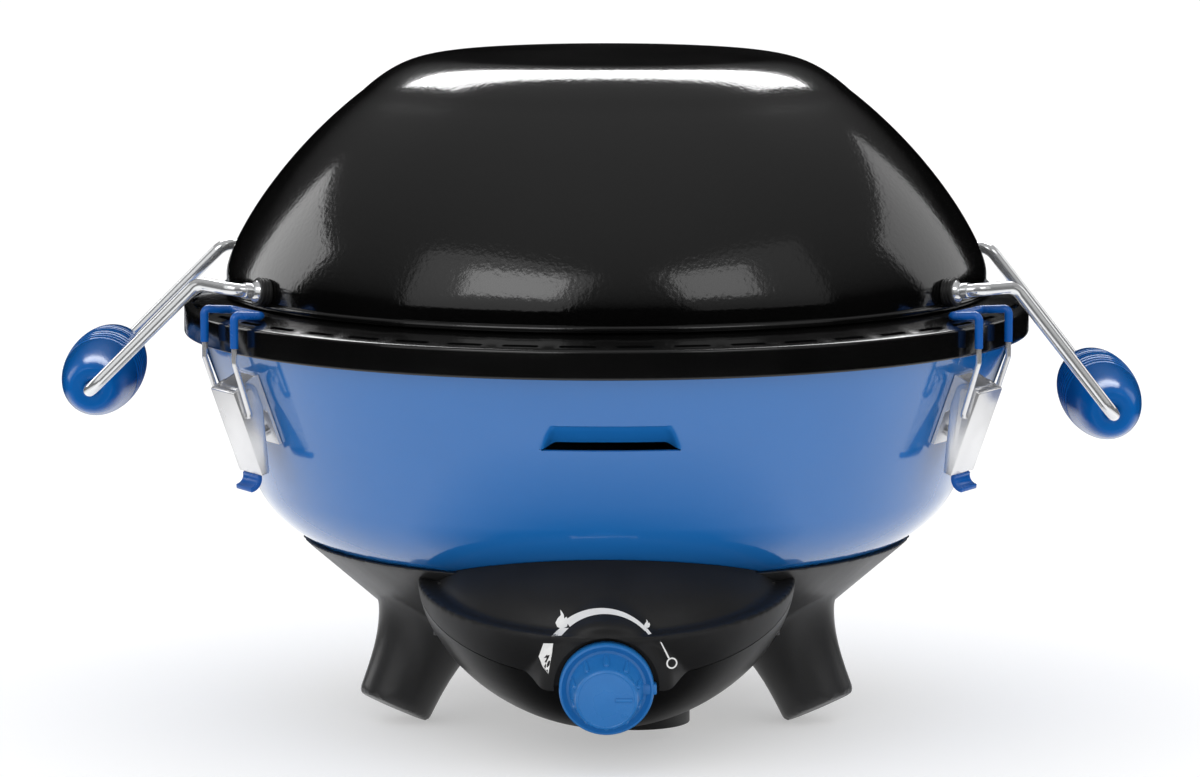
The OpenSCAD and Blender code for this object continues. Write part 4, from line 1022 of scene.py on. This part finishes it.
def across(name, radius, x, z):
    """A round bar along the latch's pivot, for a hole."""
    bar = rod(name, radius, -2 * lever_half, 2 * lever_half)
    bar.data.transform(Matrix.Translation((x, 0, z)) @ Matrix.Rotation(math.pi / 2, 4, "X"))
    return bar


def latch_frame(azimuth):
    """The place of a latch: outward, along its pivot, and up the bowl's side."""
    return (compass(azimuth) @ Matrix.Translation((pivot.x, 0, pivot.y))
            @ Matrix.Rotation(bowl_slope, 4, "Y"))


latch_steel, _ = finish(
    "latch_steel", (0.82, 0.82, 0.83), (0.66, 0.66, 0.67), gloss=(0.16, 0.28),
    marks_scale=55, bump_scale=1300, bump_depth=0.02 * mm, metallic=0.75)
sleeve_blue, _ = finish(
    "sleeve_blue", (0.002, 0.09, 0.38), (0.004, 0.11, 0.43), gloss=(0.2, 0.32),
    marks_scale=60, bump_scale=1800, bump_depth=0.03 * mm)
lever_out = lever_web + lever_t
cheek = [(lever_out, lever_top), (lever_out, -lever_length), (lever_web - lever_hem, -lever_length),
         (-ear_r, -ear_low),
         *[(-ear_r * math.cos(a), ear_r * math.sin(a))
           for a in [math.pi / 2 * i / ear_count for i in range(ear_count + 1)]]]
for side, azimuth in latch_azimuths.items():
    lever = plate("latch_arm_" + side, cheek, -lever_half, lever_half)
    hollow = [(lever_web, hollow_up), (lever_web, -2 * lever_length),
              (-hollow_in, -2 * lever_length), (-hollow_in, hollow_up)]
    change(lever, "BEVEL", width=fold_r, segments=3, limit_method="ANGLE", angle_limit=fold_angle)
    cut(lever, plate("hollow", hollow, lever_t - lever_half, lever_half - lever_t))
    cut(lever, across("pin_hole", pin_hole_r, 0, 0))
    cut(lever, across("bail_hole", bail_hole_r, bail_hole.x, bail_hole.y))
    lever.data.transform(latch_frame(azimuth))
    smooth(lever, angle=30)
    dressed(lever, latch_steel, "lever_" + side, "latch_steel", "latch_lever_" + side)

    turns = [math.radians(180 + tip_turn * i / tip_count) for i in range(tip_count + 1)]
    curl_at = Vector((lever_out + tip_curl, -lever_length - tip_gap))
    inner, outer = tip_curl - tip_coat, tip_curl + lever_t + tip_coat
    curl = [(curl_at.x + r * math.cos(a), curl_at.y + r * math.sin(a))
            for r, steps in ((outer, turns), (inner, turns[::-1])) for a in steps]
    tip = plate("latch_curl_" + side, curl, -tip_half, tip_half)
    change(tip, "BEVEL", width=tip_round, segments=3, limit_method="ANGLE", angle_limit=fold_angle)
    tip.data.transform(latch_frame(azimuth))
    smooth(tip, angle=40)
    dressed(tip, sleeve_blue, "lever_" + side, "blue_plastic", "latch_tip_" + side)
    painted(latch_steel, "latch_bail_" + side)
    painted(sleeve_blue, "latch_sleeve_" + side)
painted(latch_steel, "latch_brackets", "latch_rivets", "latch_pins")


# Handles
# A bent chromed wire on each side of the lid, its ends through the lid's side with nuts inside
# and a ridged rubber spacer, a domed washer and a collar outside.
chrome, _ = finish(
    "chrome", (0.88, 0.89, 0.9), (0.78, 0.78, 0.8), gloss=(0.08, 0.16),
    marks_scale=45, bump_scale=900, bump_depth=0.012 * mm, metallic=0.8)
rubber_black, _ = finish(
    "rubber_black", (0.01, 0.01, 0.01), (0.022, 0.022, 0.022), gloss=(0.4, 0.55),
    marks_scale=60, bump_scale=1700, bump_depth=0.04 * mm)
painted(chrome, "handle_wire_left", "handle_wire_right", "handle_washers", "handle_collars")
painted(rubber_black, "handle_spacers")


# Grips
# A glossy blue moulded barrel that turns on each handle's wire, with shallow finger grooves
# round its middle and a rounded mouth where the wire goes in.
grip_r = 19.2 * mm
grip_end_r = 9 * mm
grip_half = 72 * mm
grip_mouth_r = 3.16 * mm
mouth_r = 0.72 * grip_end_r
mouth_deep = 1.6 * mm
mouth_round = 0.4 * mm
groove_count = 8
groove_band = 0.36
groove_deep = 1.5 * mm
groove_half = 1.5 * mm
grip_steps = 220
grip_at = {"left": Vector((-248, 0, 165.566)) * mm, "right": Vector((243.5, 0, 153.766)) * mm}
grip_blue, grip_shader = finish(
    "grip_blue", (0.0012, 0.1, 0.37), (0.0025, 0.115, 0.41), gloss=(0.14, 0.22),
    marks_scale=40, bump_scale=900, bump_depth=0.02 * mm)
grip_shader.inputs["Specular IOR Level"].default_value = 0.2


def grip_radius(along):
    """Outside radius of a grip at a place along it, grooves taken in."""
    t = along / grip_half
    swell = grip_end_r + (grip_r - grip_end_r) * math.sqrt(max(0, 1 - t * t))
    for i in range(groove_count):
        groove = grip_half * groove_band * (2 * i / (groove_count - 1) - 1)
        near = abs(along - groove) / groove_half
        if near < 1:
            swell -= groove_deep * math.cos(near * math.pi / 2) ** 2
    return swell


for side, place in grip_at.items():
    body = [(grip_radius(a), a) for a in
            [grip_half * math.sin(math.pi / 2 * (2 * i / grip_steps - 1)) for i in range(grip_steps + 1)]]
    grip = turned("barrel_" + side, [
        (grip_mouth_r, mouth_deep - grip_half), (mouth_r * 0.7, mouth_round - grip_half),
        (mouth_r, -grip_half), *body, (mouth_r, grip_half), (mouth_r * 0.7, grip_half - mouth_round),
        (grip_mouth_r, grip_half - mouth_deep), (grip_mouth_r, mouth_deep - grip_half)], steps=96)
    grip.data.transform(Matrix.Translation(place) @ Matrix.Rotation(-math.pi / 2, 4, "X"))
    smooth(grip, angle=50)
    dressed(grip, grip_blue, "grip_" + side[0], "blue_plastic", "grip_" + side)


# Screws and nuts
# Plated steel screws hold the cradle under the bowl and the burner on its plate, black ones hold
# the pod under the cradle, and plated nuts hold the handles inside the lid.
screw_steel, _ = finish(
    "screw_steel", (0.5, 0.5, 0.51), (0.35, 0.35, 0.36), gloss=(0.2, 0.34),
    marks_scale=90, bump_scale=1800, bump_depth=0.02 * mm, metallic=1.0)
screw_black, _ = finish(
    "screw_black", (0.012, 0.012, 0.012), (0.025, 0.025, 0.026), gloss=(0.4, 0.55),
    marks_scale=90, bump_scale=1800, bump_depth=0.02 * mm)
painted(screw_steel, "cradle_screws", "burner_screws", "handle_nuts")
painted(screw_black, "pod_screws")
